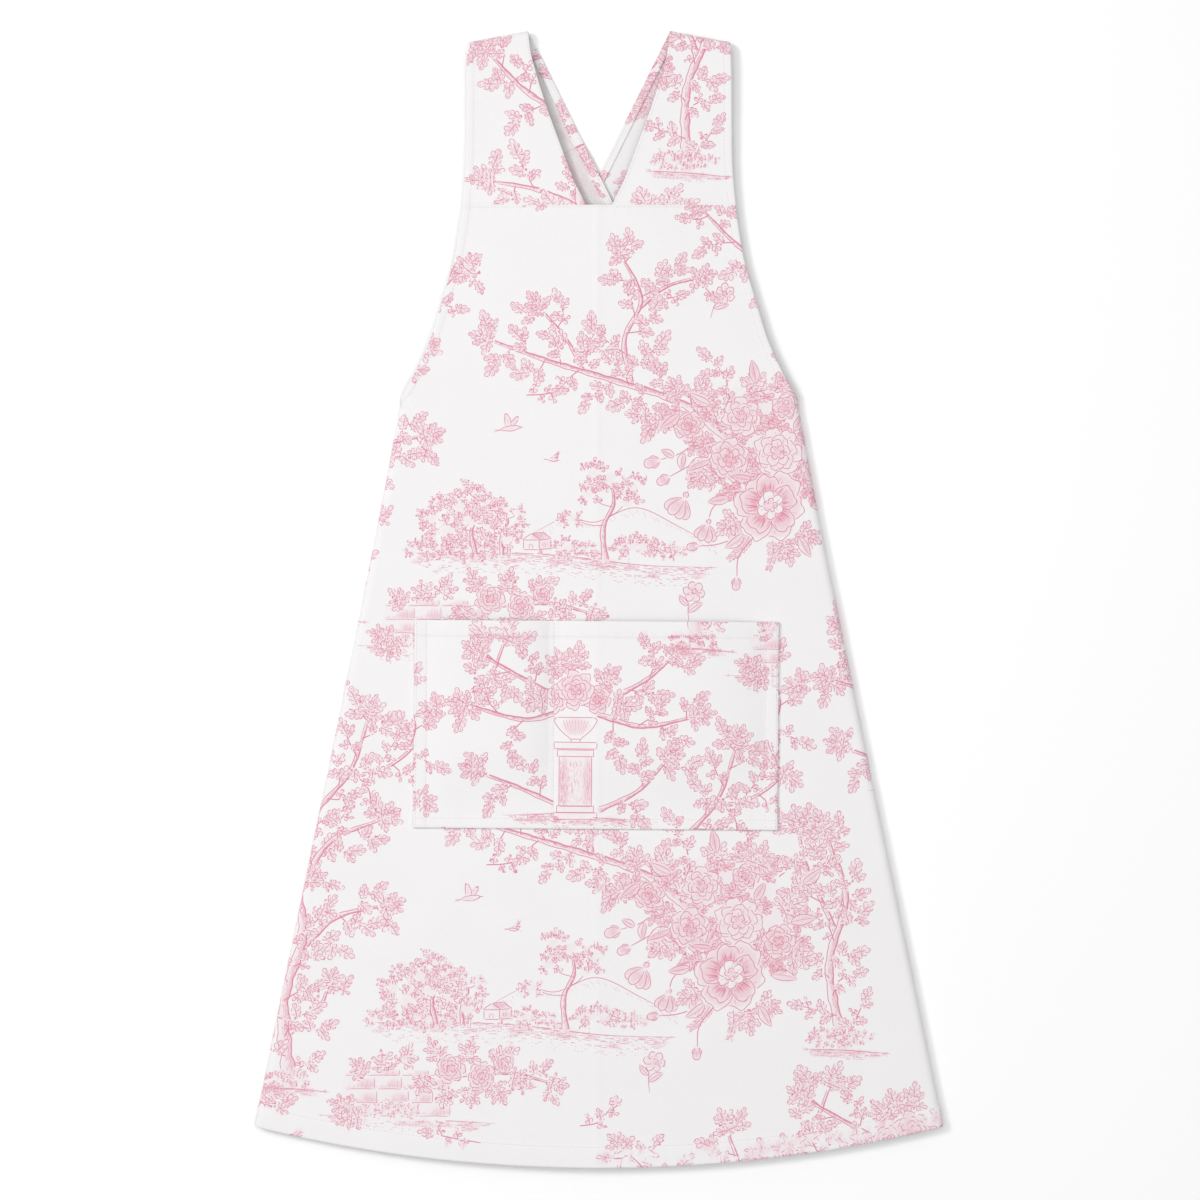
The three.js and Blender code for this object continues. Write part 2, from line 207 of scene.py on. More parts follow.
def smooth(t):
    """Rises from 0 to 1 without a corner at either end."""
    t = np.clip(t, 0, 1)
    return t * t * (3 - 2 * t)


def mix(a, b, t):
    """From a to b by a share."""
    return a + (b - a) * t


def hump(gap, width):
    """A soft hump: 1 where there is no gap, and next to nothing past twice the width."""
    return np.exp(-((gap / width) ** 2))


def follow(table, down):
    """A smooth curve through a table of shares, straight on past both ends."""
    x, y = np.asarray(table, float).T
    down = np.asarray(down, float)
    slope = np.gradient(y, x)
    slope[1:-1] = (y[2:] - y[:-2]) / (x[2:] - x[:-2])
    i = np.clip(np.searchsorted(x, down, side="right") - 1, 0, len(x) - 2)
    wide = x[i + 1] - x[i]
    t = np.clip((down - x[i]) / wide, 0, 1)
    inside = (
        y[i] * (1 + 2 * t) * (1 - t) ** 2
        + slope[i] * wide * t * (1 - t) ** 2
        + y[i + 1] * t**2 * (3 - 2 * t)
        - slope[i + 1] * wide * t**2 * (1 - t)
    )
    return inside + np.minimum(down - x[0], 0) * slope[0] + np.maximum(down - x[-1], 0) * slope[-1]


# How the apron lies


def fold_half(y):
    """Half of the width between the side folds at a height."""
    return mix(SIDE_HALF, HEM_HALF, follow(SIDE_FOLD, (FOOT_Y - y) / (FOOT_Y - CORNER_Y)))


def edge_height(y):
    """Height of the front's face at its sides: that of the folds, and lower up the bib."""
    up = (y - FOOT_Y - FOLD_RADIUS) / (BIB_HEIGHT - FOLD_RADIUS)
    return mix(2 * FOLD_RADIUS, BIB_EDGE, smooth(up))


def front_top(x, y):
    """Height of the front's outside face over the surface that the apron lies on."""
    across = np.clip(np.abs(x) / fold_half(y), 0, 1)
    crown = mix(SKIRT_CROWN, BIB_CROWN, smooth((y - FOOT_Y) / BIB_HEIGHT))
    crease = sum(height * hump(x - CREASE_X, width) for height, width in CREASE_HUMPS)
    return edge_height(y) + crown * (1 - across**2) ** 2 + crease


def cloth_half(y):
    """Half of the front's width at a height, along the cloth."""
    wrapped = fold_half(y) - FOLD_RADIUS + WRAP
    end = fold_half(ARMHOLE_END_Y) - FOLD_RADIUS + WRAP
    armhole = mix(BIB_HALF, end, follow(ARMHOLE, (BIB_Y - y) / (BIB_Y - ARMHOLE_END_Y)))
    return np.where(y <= ARMHOLE_END_Y, wrapped, np.minimum(wrapped, armhole))


def hem_rise(share):
    """How far the hem's curve has risen at a share of its half width."""
    return HEM_RADIUS - np.sqrt(HEM_RADIUS**2 - (share * HEM_HALF) ** 2)


def back_joint(y):
    """Where a back panel ends beside the front's wrapped edge."""
    return fold_half(y) - FOLD_RADIUS - SIDE_BAND - CLEARANCE


def ripples(u, v, seed, amount):
    """Soft unevenness of laid cloth, from a few crossing waves."""
    rng = np.random.default_rng(seed)
    total = np.zeros(np.broadcast(u, v).shape)
    for _ in range(WAVES):
        length = rng.uniform(*WAVE_LENGTHS)
        angle = rng.uniform(0, math.pi)
        phase = rng.uniform(0, 2 * math.pi)
        bend = WAVE_BEND * np.sin((v + u * BEND_SLANT) / BEND_LENGTH + phase)
        course = (u + bend) * math.cos(angle) + v * math.sin(angle)
        total += np.sin(2 * math.pi * course / length + phase) * length / WAVE_SCALE
    return total * amount / WAVES


def front_ripples(x, y):
    """Unevenness of the front, calm at its side folds."""
    calm = smooth((fold_half(y) - FOLD_RADIUS - np.abs(x)) / CALM_REACH)
    return calm * ripples(x, y, FRONT_SEED, WRINKLES)


def turned_edge(distance, band, along, proud=0.4):
    """Relief of an edge turned under and stitched down: a rounded rim, a raised band and a groove."""
    line = band - STITCH_IN
    raised = proud * smooth((band + RIM - distance) / BAND_RAMP)
    rim = -RIM_DROP * smooth((RIM - distance) / RIM)
    groove = -GROOVE_DEPTH * hump(distance - line, GROOVE_WIDTH)
    near = hump(distance - line, PUCKER_REACH)
    pucker = PUCKER * near * sum(high * np.sin(along * rate + phase) for high, rate, phase in PUCKER_WAVES)
    return raised + rim + groove + pucker


# Grids of the cloth: every row and column is a line along the real cloth


class Grid:
    """One piece of cloth: its outside face, the direction out of it, and its own flat coordinates."""

    def __init__(self, points, out, flat, wall, coarse=1):
        self.points = points
        self.out = out
        self.flat = flat
        self.wall = wall
        self.coarse = coarse

    def inside(self):
        """The inside face: the outside one moved in by the wall."""
        return self.points - self.out * self.wall[..., None]

    def mirrored(self):
        """The same piece for the other side of the apron."""
        flip = np.array([-1.0, 1.0, 1.0])
        return Grid(self.points * flip, self.out * flip, self.flat * [-1.0, 1.0], self.wall, self.coarse)


def edge_steps(band):
    """Distances in from an edge, close together over the rim, the stitching and the step of the band."""
    line = band - STITCH_IN
    steps = [*RIM_STEPS, line / 2, *(line + s for s in GROOVE_STEPS), *(band + s for s in BAND_STEPS)]
    return np.array(sorted({round(s, 3) for s in steps}))


def wall_of(*distances_and_bands):
    """Thickness of the cloth: doubled where an edge is turned under."""
    doubled = 0
    for distance, band in distances_and_bands:
        doubled = np.maximum(doubled, smooth((band + WALL_RAMP / 2 - distance) / WALL_RAMP))
    return CLOTH * (1 + doubled)


def between(low, high, step):
    """Even places between two ends, without the ends."""
    return np.linspace(low, high, int((high - low) / step))[1:-1]


def front_grid(columns_inside, rows_skirt, rows_bib):
    """The bib and the skirt's front, wrapped round both side folds to the back."""
    wraps = np.concatenate([edge_steps(SIDE_BAND), np.linspace(SIDE_BAND + PAST_BAND, WRAP, WRAP_COLUMNS)])
    half_shift = WRAP - wraps
    inside = np.linspace(-1, 1, columns_inside)
    share = np.concatenate([np.full(len(wraps), -1.0), inside[1:-1], np.full(len(wraps), 1.0)])
    shift = np.concatenate([-half_shift, np.zeros(columns_inside - 2), half_shift[::-1]])

    hem = edge_steps(HEM_BAND)
    above = HEM_Y + hem[-1]
    skirt = np.linspace(0, 1, rows_skirt + 1)[1:]
    seam = BIB_Y - edge_steps(SEAM_BAND)[::-1]
    bib = np.linspace(ARMHOLE_END_Y, seam[0], rows_bib + 1)[1:-1]
    row_y = np.concatenate([HEM_Y + hem, mix(above, ARMHOLE_END_Y, skirt), bib, seam])
    rise = np.concatenate([np.ones(len(hem)), 1 - skirt, np.zeros(len(bib) + len(seam))])

    share, shift = share[None, :], shift[None, :]
    row_y, rise = row_y[:, None], rise[:, None]
    behind = np.abs(shift) / WRAP
    y = row_y + rise * (hem_rise(share) + BACK_HEM_RISE * behind)
    along = share * (cloth_half(y) - WRAP) + shift

    side = np.where(along < 0, -1.0, 1.0)
    past = np.abs(along) - (fold_half(y) - FOLD_RADIUS)
    turn = np.clip(past / FOLD_LENGTH, 0, 1) * math.pi
    under = np.maximum(0, past - FOLD_LENGTH)
    on_top = past <= 0
    x = np.where(on_top, along, side * (fold_half(y) - FOLD_RADIUS * (1 - np.sin(turn)) - under))
    z = np.where(on_top, front_top(along, y), FOLD_RADIUS * (1 + np.cos(turn)))
    out = np.stack([side * np.sin(turn), 0 * turn, np.cos(turn)], -1)

    from_side = cloth_half(y) - np.abs(along)
    from_hem = row_y - HEM_Y + 0 * along
    from_top = BIB_Y - y
    relief = turned_edge(from_side, SIDE_BAND, y) + turned_edge(from_hem, HEM_BAND, x)
    relief = relief + turned_edge(from_top, TOPSTITCH + STITCH_IN, x, proud=0.3)
    relief = relief + front_ripples(along, y)
    relief = np.where(turn > math.pi / 2, np.minimum(relief, 0), relief)
    points = np.stack([x, y, z], -1) + out * relief[..., None]
    points[..., 2] = np.maximum(points[..., 2], 0)
    wall = wall_of((from_side, SIDE_BAND), (from_hem, HEM_BAND), (from_top, SEAM_BAND))
    return Grid(points, out, np.stack([along, y], -1), wall + np.minimum(relief, 0), FRONT_COARSE)


def panel_shares(low_band, high_band, count, low, high):
    """Shares across a panel and shifts in mm: fine steps over both bands, and even shares between them."""
    first, last = edge_steps(low_band), edge_steps(high_band)[::-1]
    even = mix(low, high, np.linspace(0, 1, count)[1:-1])
    share = np.concatenate([0 * first, even, 0 * last + 1])
    return share, np.concatenate([first, np.zeros(count - 2), -last])


def back_grid(columns_inside, rows_inside):
    """The back panel on the viewer's right, flat on the surface, from the open centre back to the side."""
    share, shift = panel_shares(BACK_BAND, SIDE_BAND, columns_inside, BACK_SIDE_SHARE, 1 - BACK_SIDE_SHARE)
    row_share, row_shift = panel_shares(HEM_BAND, SEAM_BAND, rows_inside, BACK_HEM_SHARE, BACK_TOP_SHARE)
    share, shift = share[None, :], shift[None, :]
    row_share, row_shift = row_share[:, None], row_shift[:, None]
    joint = back_joint(BACK_TOP_Y)
    turn_x = mix(BACK_EDGE, joint, share) + shift
    turned = np.clip(1 - (joint - turn_x) / BACK_TURN_WIDTH, 0, 1)
    low = HEM_Y + BACK_HEM_RISE + hem_rise(turn_x / joint)
    high = BACK_TOP_Y + BACK_TURN_RISE * turned**2
    y = mix(low, high, row_share) + row_shift
    x = mix(BACK_EDGE, back_joint(y), share) + shift

    from_centre = x - BACK_EDGE
    from_side = back_joint(y) - x
    from_hem = y - low
    from_top = high - y
    dips = turned_edge(from_centre, BACK_BAND, y, proud=0) + turned_edge(from_hem, HEM_BAND, x, proud=0)
    dips = dips + turned_edge(from_top, SEAM_BAND, x, proud=0)
    z = np.maximum(0, -dips)
    points = np.stack([x, y, z], -1)
    out = np.zeros_like(points)
    out[..., 2] = -1
    edges = ((from_centre, BACK_BAND), (from_hem, HEM_BAND), (from_top, SEAM_BAND), (from_side, SIDE_BAND))
    return Grid(points, out, np.stack([x, y], -1), wall_of(*edges) - z * BACK_THINNING)


# Straps, described as the one on the viewer's left


def strap_edge(outer, row):
    """Where an edge of the strap is at a row: in front, on the shoulder's roll, or behind."""
    kind, value = row
    start = (-STRAP_OUTER_X, TOP_Y - STRAP_SLANT) if outer else (-STRAP_INNER_X, TOP_Y)
    table = STRAP_OUTER if outer else STRAP_INNER
    reach = -STRAP_FLARE if outer else STRAP_INNER_X - NECK_HALF_GAP
    if kind == "roll":
        inward = 1 - math.cos(value)
        kind, value = ("front", ROLL_FRONT * inward) if value >= 0 else ("back", ROLL_BACK * inward)
    if kind == "front":
        x = start[0] + reach * follow(table, np.minimum(value, 1))
        return float(x), float(mix(start[1], BIB_Y + CLEARANCE, value))
    y = mix(start[1], STRAP_END_Y, value)
    return start[0] + (start[1] - y) * STRAP_LEAN, y


def strap_lift(y, on_top):
    """Height of a back strap's lower face: up over the panel at its end, and over the other strap."""
    cross_top = TOP_Y - STRAP_INNER_X / STRAP_LEAN
    cross_bottom = TOP_Y - STRAP_SLANT - STRAP_OUTER_X / STRAP_LEAN
    over_panel = smooth((BACK_TOP_Y + BACK_TURN_RISE + LIFT_RAMP - y) / LIFT_RAMP)
    below = smooth((y - (cross_bottom - LIFT_MARGIN - LIFT_RAMP)) / LIFT_RAMP)
    above = smooth((cross_top + LIFT_MARGIN + LIFT_RAMP - y) / LIFT_RAMP)
    crossing = np.minimum(below, above) if on_top else 0 * y
    return LAYER_LIFT * np.maximum(over_panel, crossing)


def strap_grid(on_top, step):
    """A strap from under the bib's seam, over the shoulder's roll and down behind."""
    tucked = 1 + STRAP_TUCK / (TOP_Y - BIB_Y)
    front_count = int((TOP_Y - BIB_Y) / step)
    back_count = int((TOP_Y - STRAP_END_Y) / step * STRAP_BEHIND_FINER)
    rows = [("front", t) for t in np.linspace(tucked, ROLL_FRONT, front_count)]
    rows += [("roll", math.pi * (0.5 - t)) for t in np.linspace(0, 1, ROLL_ROWS)[1:-1]]
    rows += [("back", t) for t in np.linspace(ROLL_BACK, 1, back_count)]

    steps = edge_steps(STRAP_BAND)
    middle = np.linspace(0, 1, int((STRAP_OUTER_X - STRAP_INNER_X - 2 * STRAP_BAND) / step))[1:-1]
    gap = steps[-1]
    fold = np.array([-STRAP_SLANT, STRAP_OUTER_X - STRAP_INNER_X])
    fold = fold / np.hypot(*fold)
    points, outs, flats, from_outer, from_inner, ends = [], [], [], [], [], []
    run = 0.0
    last = None
    for row in rows:
        ax, ay = strap_edge(True, row)
        bx, by = strap_edge(False, row)
        width = math.hypot(bx - ax, by - ay)
        across = np.concatenate([steps, gap + middle * (width - 2 * gap), width - steps[::-1]])
        t = across / width
        x, y = mix(ax, bx, t), mix(ay, by, t)
        kind, value = row
        if kind == "front":
            z = mix(2 * STRAP_ROLL, front_top(x, BIB_Y), smooth(value))
            z = z - TUCK_DROP * smooth((value - 1) * (TOP_Y - BIB_Y) / TUCK_RAMP + 0.5)
            out = np.array([0.0, 0.0, 1.0])
        elif kind == "back":
            z = strap_lift(y, on_top)
            out = np.array([0.0, 0.0, -1.0])
        else:
            out = np.array([*(fold * math.cos(value)), math.sin(value)])
            z = STRAP_ROLL * (1 + math.sin(value)) + 0 * x
        middle_point = np.array([(ax + bx) / 2, (ay + by) / 2, float(np.mean(z))])
        if last is not None:
            run += float(np.linalg.norm(middle_point - last))
        last = middle_point
        points.append(np.stack([x, y, z], -1))
        outs.append(np.broadcast_to(out, (len(x), 3)))
        flats.append(np.stack([across - width / 2, run + 0 * x], -1))
        from_outer.append(across)
        from_inner.append(width - across)
        ends.append(run)
    points, outs = np.array(points), np.array(outs)
    flats, from_outer, from_inner = np.array(flats), np.array(from_outer), np.array(from_inner)
    from_edge = np.minimum(from_outer, from_inner)
    from_end = (ends[-1] - np.array(ends))[:, None] + 0 * from_edge
    relief = turned_edge(from_outer, STRAP_BAND, flats[..., 1], proud=0.3)
    relief = relief + turned_edge(from_inner, TOPSTITCH + STITCH_IN, flats[..., 1], proud=0.3)
    behind = outs[..., 2] < -0.2
    relief = np.where(behind, np.minimum(relief, 0), relief)
    uneven = ripples(flats[..., 0] * 2, flats[..., 1], STRAP_SEED, WRINKLES)
    relief = relief + np.where(behind, 0, STRAP_UNEVENNESS) * uneven
    points = points + outs * relief[..., None]
    points[..., 2] = np.maximum(points[..., 2], 0)
    wall = wall_of((from_edge, STRAP_BAND), (from_end, STRAP_BAND))
    return Grid(points, outs, flats, wall + np.minimum(relief, 0))


# Pocket


def puff(x, low, high):
    """How far the cloth stands off the front between two lines of stitching."""
    return np.maximum(0, 1 - ((2 * (x - low)) / (high - low) - 1) ** 4)


def pocket_grid(step):
    """The patch pocket on the skirt, fuller on both sides of its divider."""
    half = POCKET_WIDTH / 2
    divider = POCKET_DIVIDER_X - POCKET_CENTRE_X
    left = (-half + POCKET_SIDE_BAND, divider - POCKET_DIVIDER_HALF)
    right = (divider + POCKET_DIVIDER_HALF, half - POCKET_SIDE_BAND)
    side = edge_steps(POCKET_SIDE_BAND)
    seam = divider + np.array(POCKET_SEAM_STEPS)
    x0 = np.concatenate([
        side - half, between(side[-1] - half, seam[0], step), seam,
        between(seam[-1], half - side[-1], step), half - side[::-1],
    ])
    low = edge_steps(POCKET_BOTTOM_BAND)
    top = POCKET_HEIGHT - edge_steps(POCKET_HEM)[::-1]
    up = np.concatenate([low, between(low[-1], top[0], step), top])

    x0, up = x0[None, :], up[:, None]
    down = up - POCKET_HEIGHT / 2
    x = POCKET_CENTRE_X + x0 * math.cos(POCKET_TILT) + down * math.sin(POCKET_TILT)
    y = POCKET_MIDDLE_Y - x0 * math.sin(POCKET_TILT) + down * math.cos(POCKET_TILT)
    opened = smooth((up - POCKET_BOTTOM_BAND) / POCKET_FILL)
    ease = POCKET_EASE * opened * (puff(x0, *left) + puff(x0, *right))
    z = front_top(x, y) + front_ripples(x, y) + CLEARANCE + 2 * CLOTH + ease
    from_side = half - np.abs(x0) + 0 * up
    from_low = up + 0 * x0
    from_top = POCKET_HEIGHT - up + 0 * x0
    relief = turned_edge(from_side, POCKET_SIDE_BAND, y) + turned_edge(from_low, POCKET_BOTTOM_BAND, x)
    relief = relief + turned_edge(from_top, POCKET_HEM, x, proud=0.5)
    relief = relief - DIVIDER_DEPTH * hump(x0 - divider, DIVIDER_WIDTH) * smooth((from_top + 1) / 2)
    pulled = hump(x0 - divider, DIVIDER_REACH) * np.sin(up * 0.55)
    relief = relief + DIVIDER_PULL * pulled + 0.5 * ripples(x, y, POCKET_SEED, WRINKLES) * opened
    points = np.stack([x, y, z + relief], -1)
    out = np.zeros_like(points)
    out[..., 2] = 1
    wall = wall_of((from_side, POCKET_SIDE_BAND), (from_low, POCKET_BOTTOM_BAND), (from_top, POCKET_HEM))
    return Grid(points, out, np.stack([x0 + 0 * up, up + 0 * x0], -1), wall + np.minimum(relief, 0))


def pocket_print(z):
    """Where the pocket lies on the repeat: the print breaks off at the divider, where it was pieced."""
    middle = z.real if z.ndim == 1 else z.real.mean(-1, keepdims=True)
    return z + np.where(middle < POCKET_DIVIDER_X - POCKET_CENTRE_X, POCKET_LEFT_PRINT, POCKET_RIGHT_PRINT)


# Meshes


def sparse(count, coarse):
    """Every few of a row's places, with both ends."""
    return sorted({*range(0, count, coarse), count - 1})


def cloth_mesh(name, grid):
    """A closed mesh: the outside face, an inside face with fewer rows and columns, and the rim between."""
    outer, inner = grid.points, grid.inside()
    rows, columns = outer.shape[:2]
    keep_rows, keep_columns = sparse(rows, grid.coarse), sparse(columns, grid.coarse)
    inner_kept = inner[np.ix_(keep_rows, keep_columns)]
    points = np.concatenate([outer.reshape(-1, 3), inner_kept.reshape(-1, 3)]) * MM
    out_index = np.arange(rows * columns).reshape(rows, columns)
    in_index = rows * columns + np.arange(len(keep_rows) * len(keep_columns)).reshape(len(keep_rows), -1)

    def quads(index):
        """The faces between the rows and columns of a grid of indices."""
        return np.stack([index[:-1, :-1], index[:-1, 1:], index[1:, 1:], index[1:, :-1]], -1).reshape(-1, 4)

    first = quads(out_index)
    middle = first[len(first) // 2]
    a, b, c, d = outer.reshape(-1, 3)[middle]
    facing_out = float(np.dot(np.cross(c - a, d - b), grid.out.reshape(-1, 3)[middle[0]])) > 0
    second = quads(in_index)[:, ::-1]
    rims = []
    for line, inner_line, kept, forward in (
        (out_index[0], in_index[0], keep_columns, False),
        (out_index[-1], in_index[-1], keep_columns, True),
        (out_index[:, 0], in_index[:, 0], keep_rows, True),
        (out_index[:, -1], in_index[:, -1], keep_rows, False),
    ):
        for k in range(len(kept) - 1):
            face = [*line[kept[k] : kept[k + 1] + 1], inner_line[k + 1], inner_line[k]]
            rims.append(face if forward else face[::-1])
    if not facing_out:
        first, second = first[:, ::-1], second[:, ::-1]
        rims = [face[::-1] for face in rims]

    rims = [[int(v) for v in face] for face in rims]
    mesh = bpy.data.meshes.new(name)
    mesh.from_pydata(points.tolist(), [], [*first.tolist(), *second.tolist(), *rims])
    mesh.update()
    mesh.shade_smooth()
    return mesh, first, second, (keep_rows, keep_columns)


# The print: an engraved toile of traditional motifs, drawn in millimetres of cloth

PRINT_SEED = 7
REPEAT_WIDTH = 620.0
REPEAT_HEIGHT = 392.0
REPEAT_SHIFT = 33.0
FINE = 0.21
LINE = 0.33
BOLD = 0.50
GRAIN = 2
SMALL_LEAF = 10


def curve_through(points, step=1.6):
    """Points along a smooth curve through a few chosen ones, about a step apart."""
    p = np.asarray(points, complex)
    if len(p) == 2:
        return p[0] + (p[1] - p[0]) * np.linspace(0, 1, max(2, int(abs(p[1] - p[0]) / step) + 1))
    ends = np.concatenate(([2 * p[0] - p[1]], p, [2 * p[-1] - p[-2]]))
    out = []
    for a, b, c, d in zip(ends[:-3], ends[1:-2], ends[2:-1], ends[3:]):
        t = np.linspace(0, 1, max(2, int(abs(c - b) / step) + 1), endpoint=False)
        bend = (2 * a - 5 * b + 4 * c - d) * t**2 + (3 * b - a - 3 * c + d) * t**3
        out.append(0.5 * (2 * b + (c - a) * t + bend))
    return np.concatenate([*out, p[-1:]])


def facing(angle):
    """The unit direction at an angle in degrees."""
    return complex(math.cos(math.radians(angle)), math.sin(math.radians(angle)))


def heading(way):
    """The angle of a direction, in degrees."""
    return math.degrees(np.angle(way))


def into_repeat(z):
    """The same place in the one repeat that the lattice copies."""
    row = np.floor(z.imag / REPEAT_HEIGHT)
    x = np.mod(z.real - row * REPEAT_SHIFT, REPEAT_WIDTH)
    return x + 1j * (z.imag - row * REPEAT_HEIGHT)


class Plate:
    """One repeat of the print, drawn from front to back: what is drawn later is hidden by what is there."""

    def __init__(self, seed):
        self.rng = np.random.default_rng(seed)
        self.strokes = []
        shape = (int(REPEAT_HEIGHT * GRAIN), int(REPEAT_WIDTH * GRAIN))
        self.covered = np.zeros(shape, bool)
        self.tone = np.zeros(shape, np.float32)

    def rand(self, low, high):
        """The next of the print's random numbers."""
        return float(self.rng.uniform(low, high))

    def cells(self, z):
        """Rows and columns of places in the fine grid of the repeat."""
        z = into_repeat(np.asarray(z, complex))
        parts = zip((z.imag, z.real), self.covered.shape)
        return tuple(np.minimum((part * GRAIN).astype(int), count - 1) for part, count in parts)

    def line(self, points, weight=LINE, ends=(0.35, 0.35)):
        """A stroke that swells in the middle and thins towards its ends, where nothing covers it."""
        p = np.asarray(points, complex)
        if len(p) < 2:
            return
        t = np.linspace(0, 1, len(p))
        swell = np.minimum(ends[0] + (1 - ends[0]) * t / 0.25, ends[1] + (1 - ends[1]) * (1 - t) / 0.25)
        half = weight * np.clip(swell, 0, 1)
        seen = ~self.covered[self.cells(p)]
        start = None
        for k in range(len(p) + 1):
            if k < len(p) and seen[k]:
                start = k if start is None else start
            elif start is not None:
                if k - start > 1:
                    self.strokes.append((p[start:k], half[start:k]))
                start = None

    def fill(self, centre, along, across, angle, depth=0.0, cover=True):
        """Tints an oval where nothing is yet, and then hides what is drawn later behind it."""
        reach = max(along, across) + 1
        steps = np.arange(-reach, reach, 1 / GRAIN)
        x, y = np.meshgrid(steps, steps)
        turned = (x + 1j * y) * facing(-angle)
        r = np.hypot(turned.real / max(along, 0.1), turned.imag / max(across, 0.1))
        place = self.cells(centre + (x + 1j * y)[r < 1])
        open_ground = ~self.covered[place]
        shade = depth * np.clip((1 - r[r < 1]) * 3.2, 0.55, 1)
        self.tone[place] = np.where(open_ground, np.maximum(self.tone[place], shade), self.tone[place])
        if cover:
            self.covered[place] = True

    # Leaves and petals

    def lobe(self, base, angle, length, width, weight=LINE, depth=0.3, marks=2, gape=0.86):
        """A rounded lobe on its base, with short marks inside."""
        turn = facing(angle)
        s = np.linspace(-gape * math.pi, gape * math.pi, max(9, int(length * 2.4)))
        x = length * (0.52 + 0.48 * np.cos(s))
        y = width * np.sin(s) * (0.5 + 0.62 * x / length)
        self.line(base + turn * (x + 1j * y), weight, (0.7, 0.7))
        for k in range(marks):
            lean = (k - (marks - 1) / 2) * 0.5 + self.rand(-0.08, 0.08)
            start, reach = length * self.rand(0.2, 0.36), length * self.rand(0.55, 0.82)
            across = 1j * lean * width
            self.line(base + turn * np.array([start + across * 0.5, reach + across]), FINE, (0.9, 0.2))
        self.fill(base + turn * length * 0.53, length * 0.45, width * 0.86, angle, depth)

    def leaf(self, base, angle, size, depth=None):
        """A lobed leaf, like an oak's: one round lobe at its tip and pairs of them down its rib."""
        depth = self.rand(0.1, 0.34) if depth is None else depth
        turn = facing(angle)
        bend = self.rand(-0.14, 0.14)
        rib = base + turn * size * np.array([0, 0.3 + 0.5j * bend, 0.74 + bend * 1j])
        self.line(curve_through(rib), LINE, (1.0, 0.5))
        lobes = [(0.54, bend * 30, 0.46, 0.17)]
        if size > SMALL_LEAF:
            pairs = ((0.42, 46, 0.40, 0.155), (0.2, 64, 0.38, 0.145), (0.02, 84, 0.27, 0.11))
        else:
            pairs = ((0.22, 56, 0.44, 0.2),)
        for share, lean, length, width in pairs:
            lobes += [(share, side * lean, length, width) for side in (1, -1)]
        self.fill(base + turn * size * 0.42, size * 0.3, size * 0.075, angle, depth + 0.32, cover=False)
        for share, lean, length, width in lobes:
            at = base + turn * size * complex(share, bend * share)
            long = size * length * self.rand(0.88, 1.12)
            wide = size * width * self.rand(0.88, 1.12)
            if size > SMALL_LEAF:
                self.curl(at + turn * facing(lean) * long * 0.64, wide * 0.56, angle + lean)
            self.lobe(at, angle + lean, long, wide, LINE * 0.86, depth * self.rand(0.5, 1.3), 1, 0.92)

    def curl(self, centre, radius, angle):
        """A small loop inside a lobe that closes towards its middle."""
        turns = np.linspace(0, 1, 9)
        arc = np.exp(1j * (-2.6 + 5.4 * turns + self.rand(-0.5, 0.5))) * (1 - 0.45 * turns)
        self.line(centre + radius * facing(angle) * arc, FINE, (0.8, 0.4))

    def spray(self, base, angle, size, depth=None):
        """Two pairs of small lobed leaves on a short stem, with one at its tip in front."""
        small = size * 0.76
        for k, pair in enumerate((0, 1, 1, 2, 2)):
            lean = (-1, 1)[k % 2] * (0, self.rand(42, 54), self.rand(76, 94))[pair] + self.rand(-6, 6)
            at = base + facing(angle) * size * (0.46, 0.3, 0.04)[pair]
            self.leaf(at, angle + lean, small * self.rand(0.84, 1.08), depth)

    def sprays(self, size, places):
        """Sprays of one size, each at its place and angle."""
        for x, y, angle in places:
            self.spray(complex(x, y), angle, size)

    def blade(self, base, angle, length, width, depth=0.3):
        """A pointed leaf with a rib and slanting veins."""
        turn = facing(angle)
        t = np.linspace(0, 1, max(8, int(length * 1.1)))
        half = width * np.sin(math.pi * t**0.8) ** 0.9
        rib = length * t + 1j * self.rand(-0.12, 0.12) * length * np.sin(math.pi * t)
        for side in (-1, 1):
            self.line(base + turn * (rib + side * 1j * half), LINE, (0.6, 0.4))
        self.line(base + turn * rib, FINE, (1, 0.3))
        for k in range(3, len(t) - 2, 2):
            self.line(base + turn * np.array([rib[k], rib[k] + half[k] * (0.45 + 0.75j)]), FINE, (1, 0.3))
        self.fill(base + turn * length * 0.5, length * 0.46, width * 0.85, angle, depth)

    def fern(self, base, angle, length):
        """A feathery sprig: pairs of narrow leaflets along a stem."""
        middle, end = base + facing(angle + 8) * length * 0.5, base + facing(angle) * length
        stem = curve_through([base, middle, end])
        self.line(stem, FINE * 1.3, (1, 0.4))
        count = max(3, int(length / 3.4))
        for k in range(count, 0, -1):
            at = stem[min(len(stem) - 1, int(len(stem) * k / (count + 0.5)))]
            size = length * 0.22 * (1.15 - 0.5 * k / count)
            for side in (-1, 1):
                self.lobe(at, angle + side * 48, size, size * 0.3, FINE, 0.4, 1, 0.95)

    # Flowers

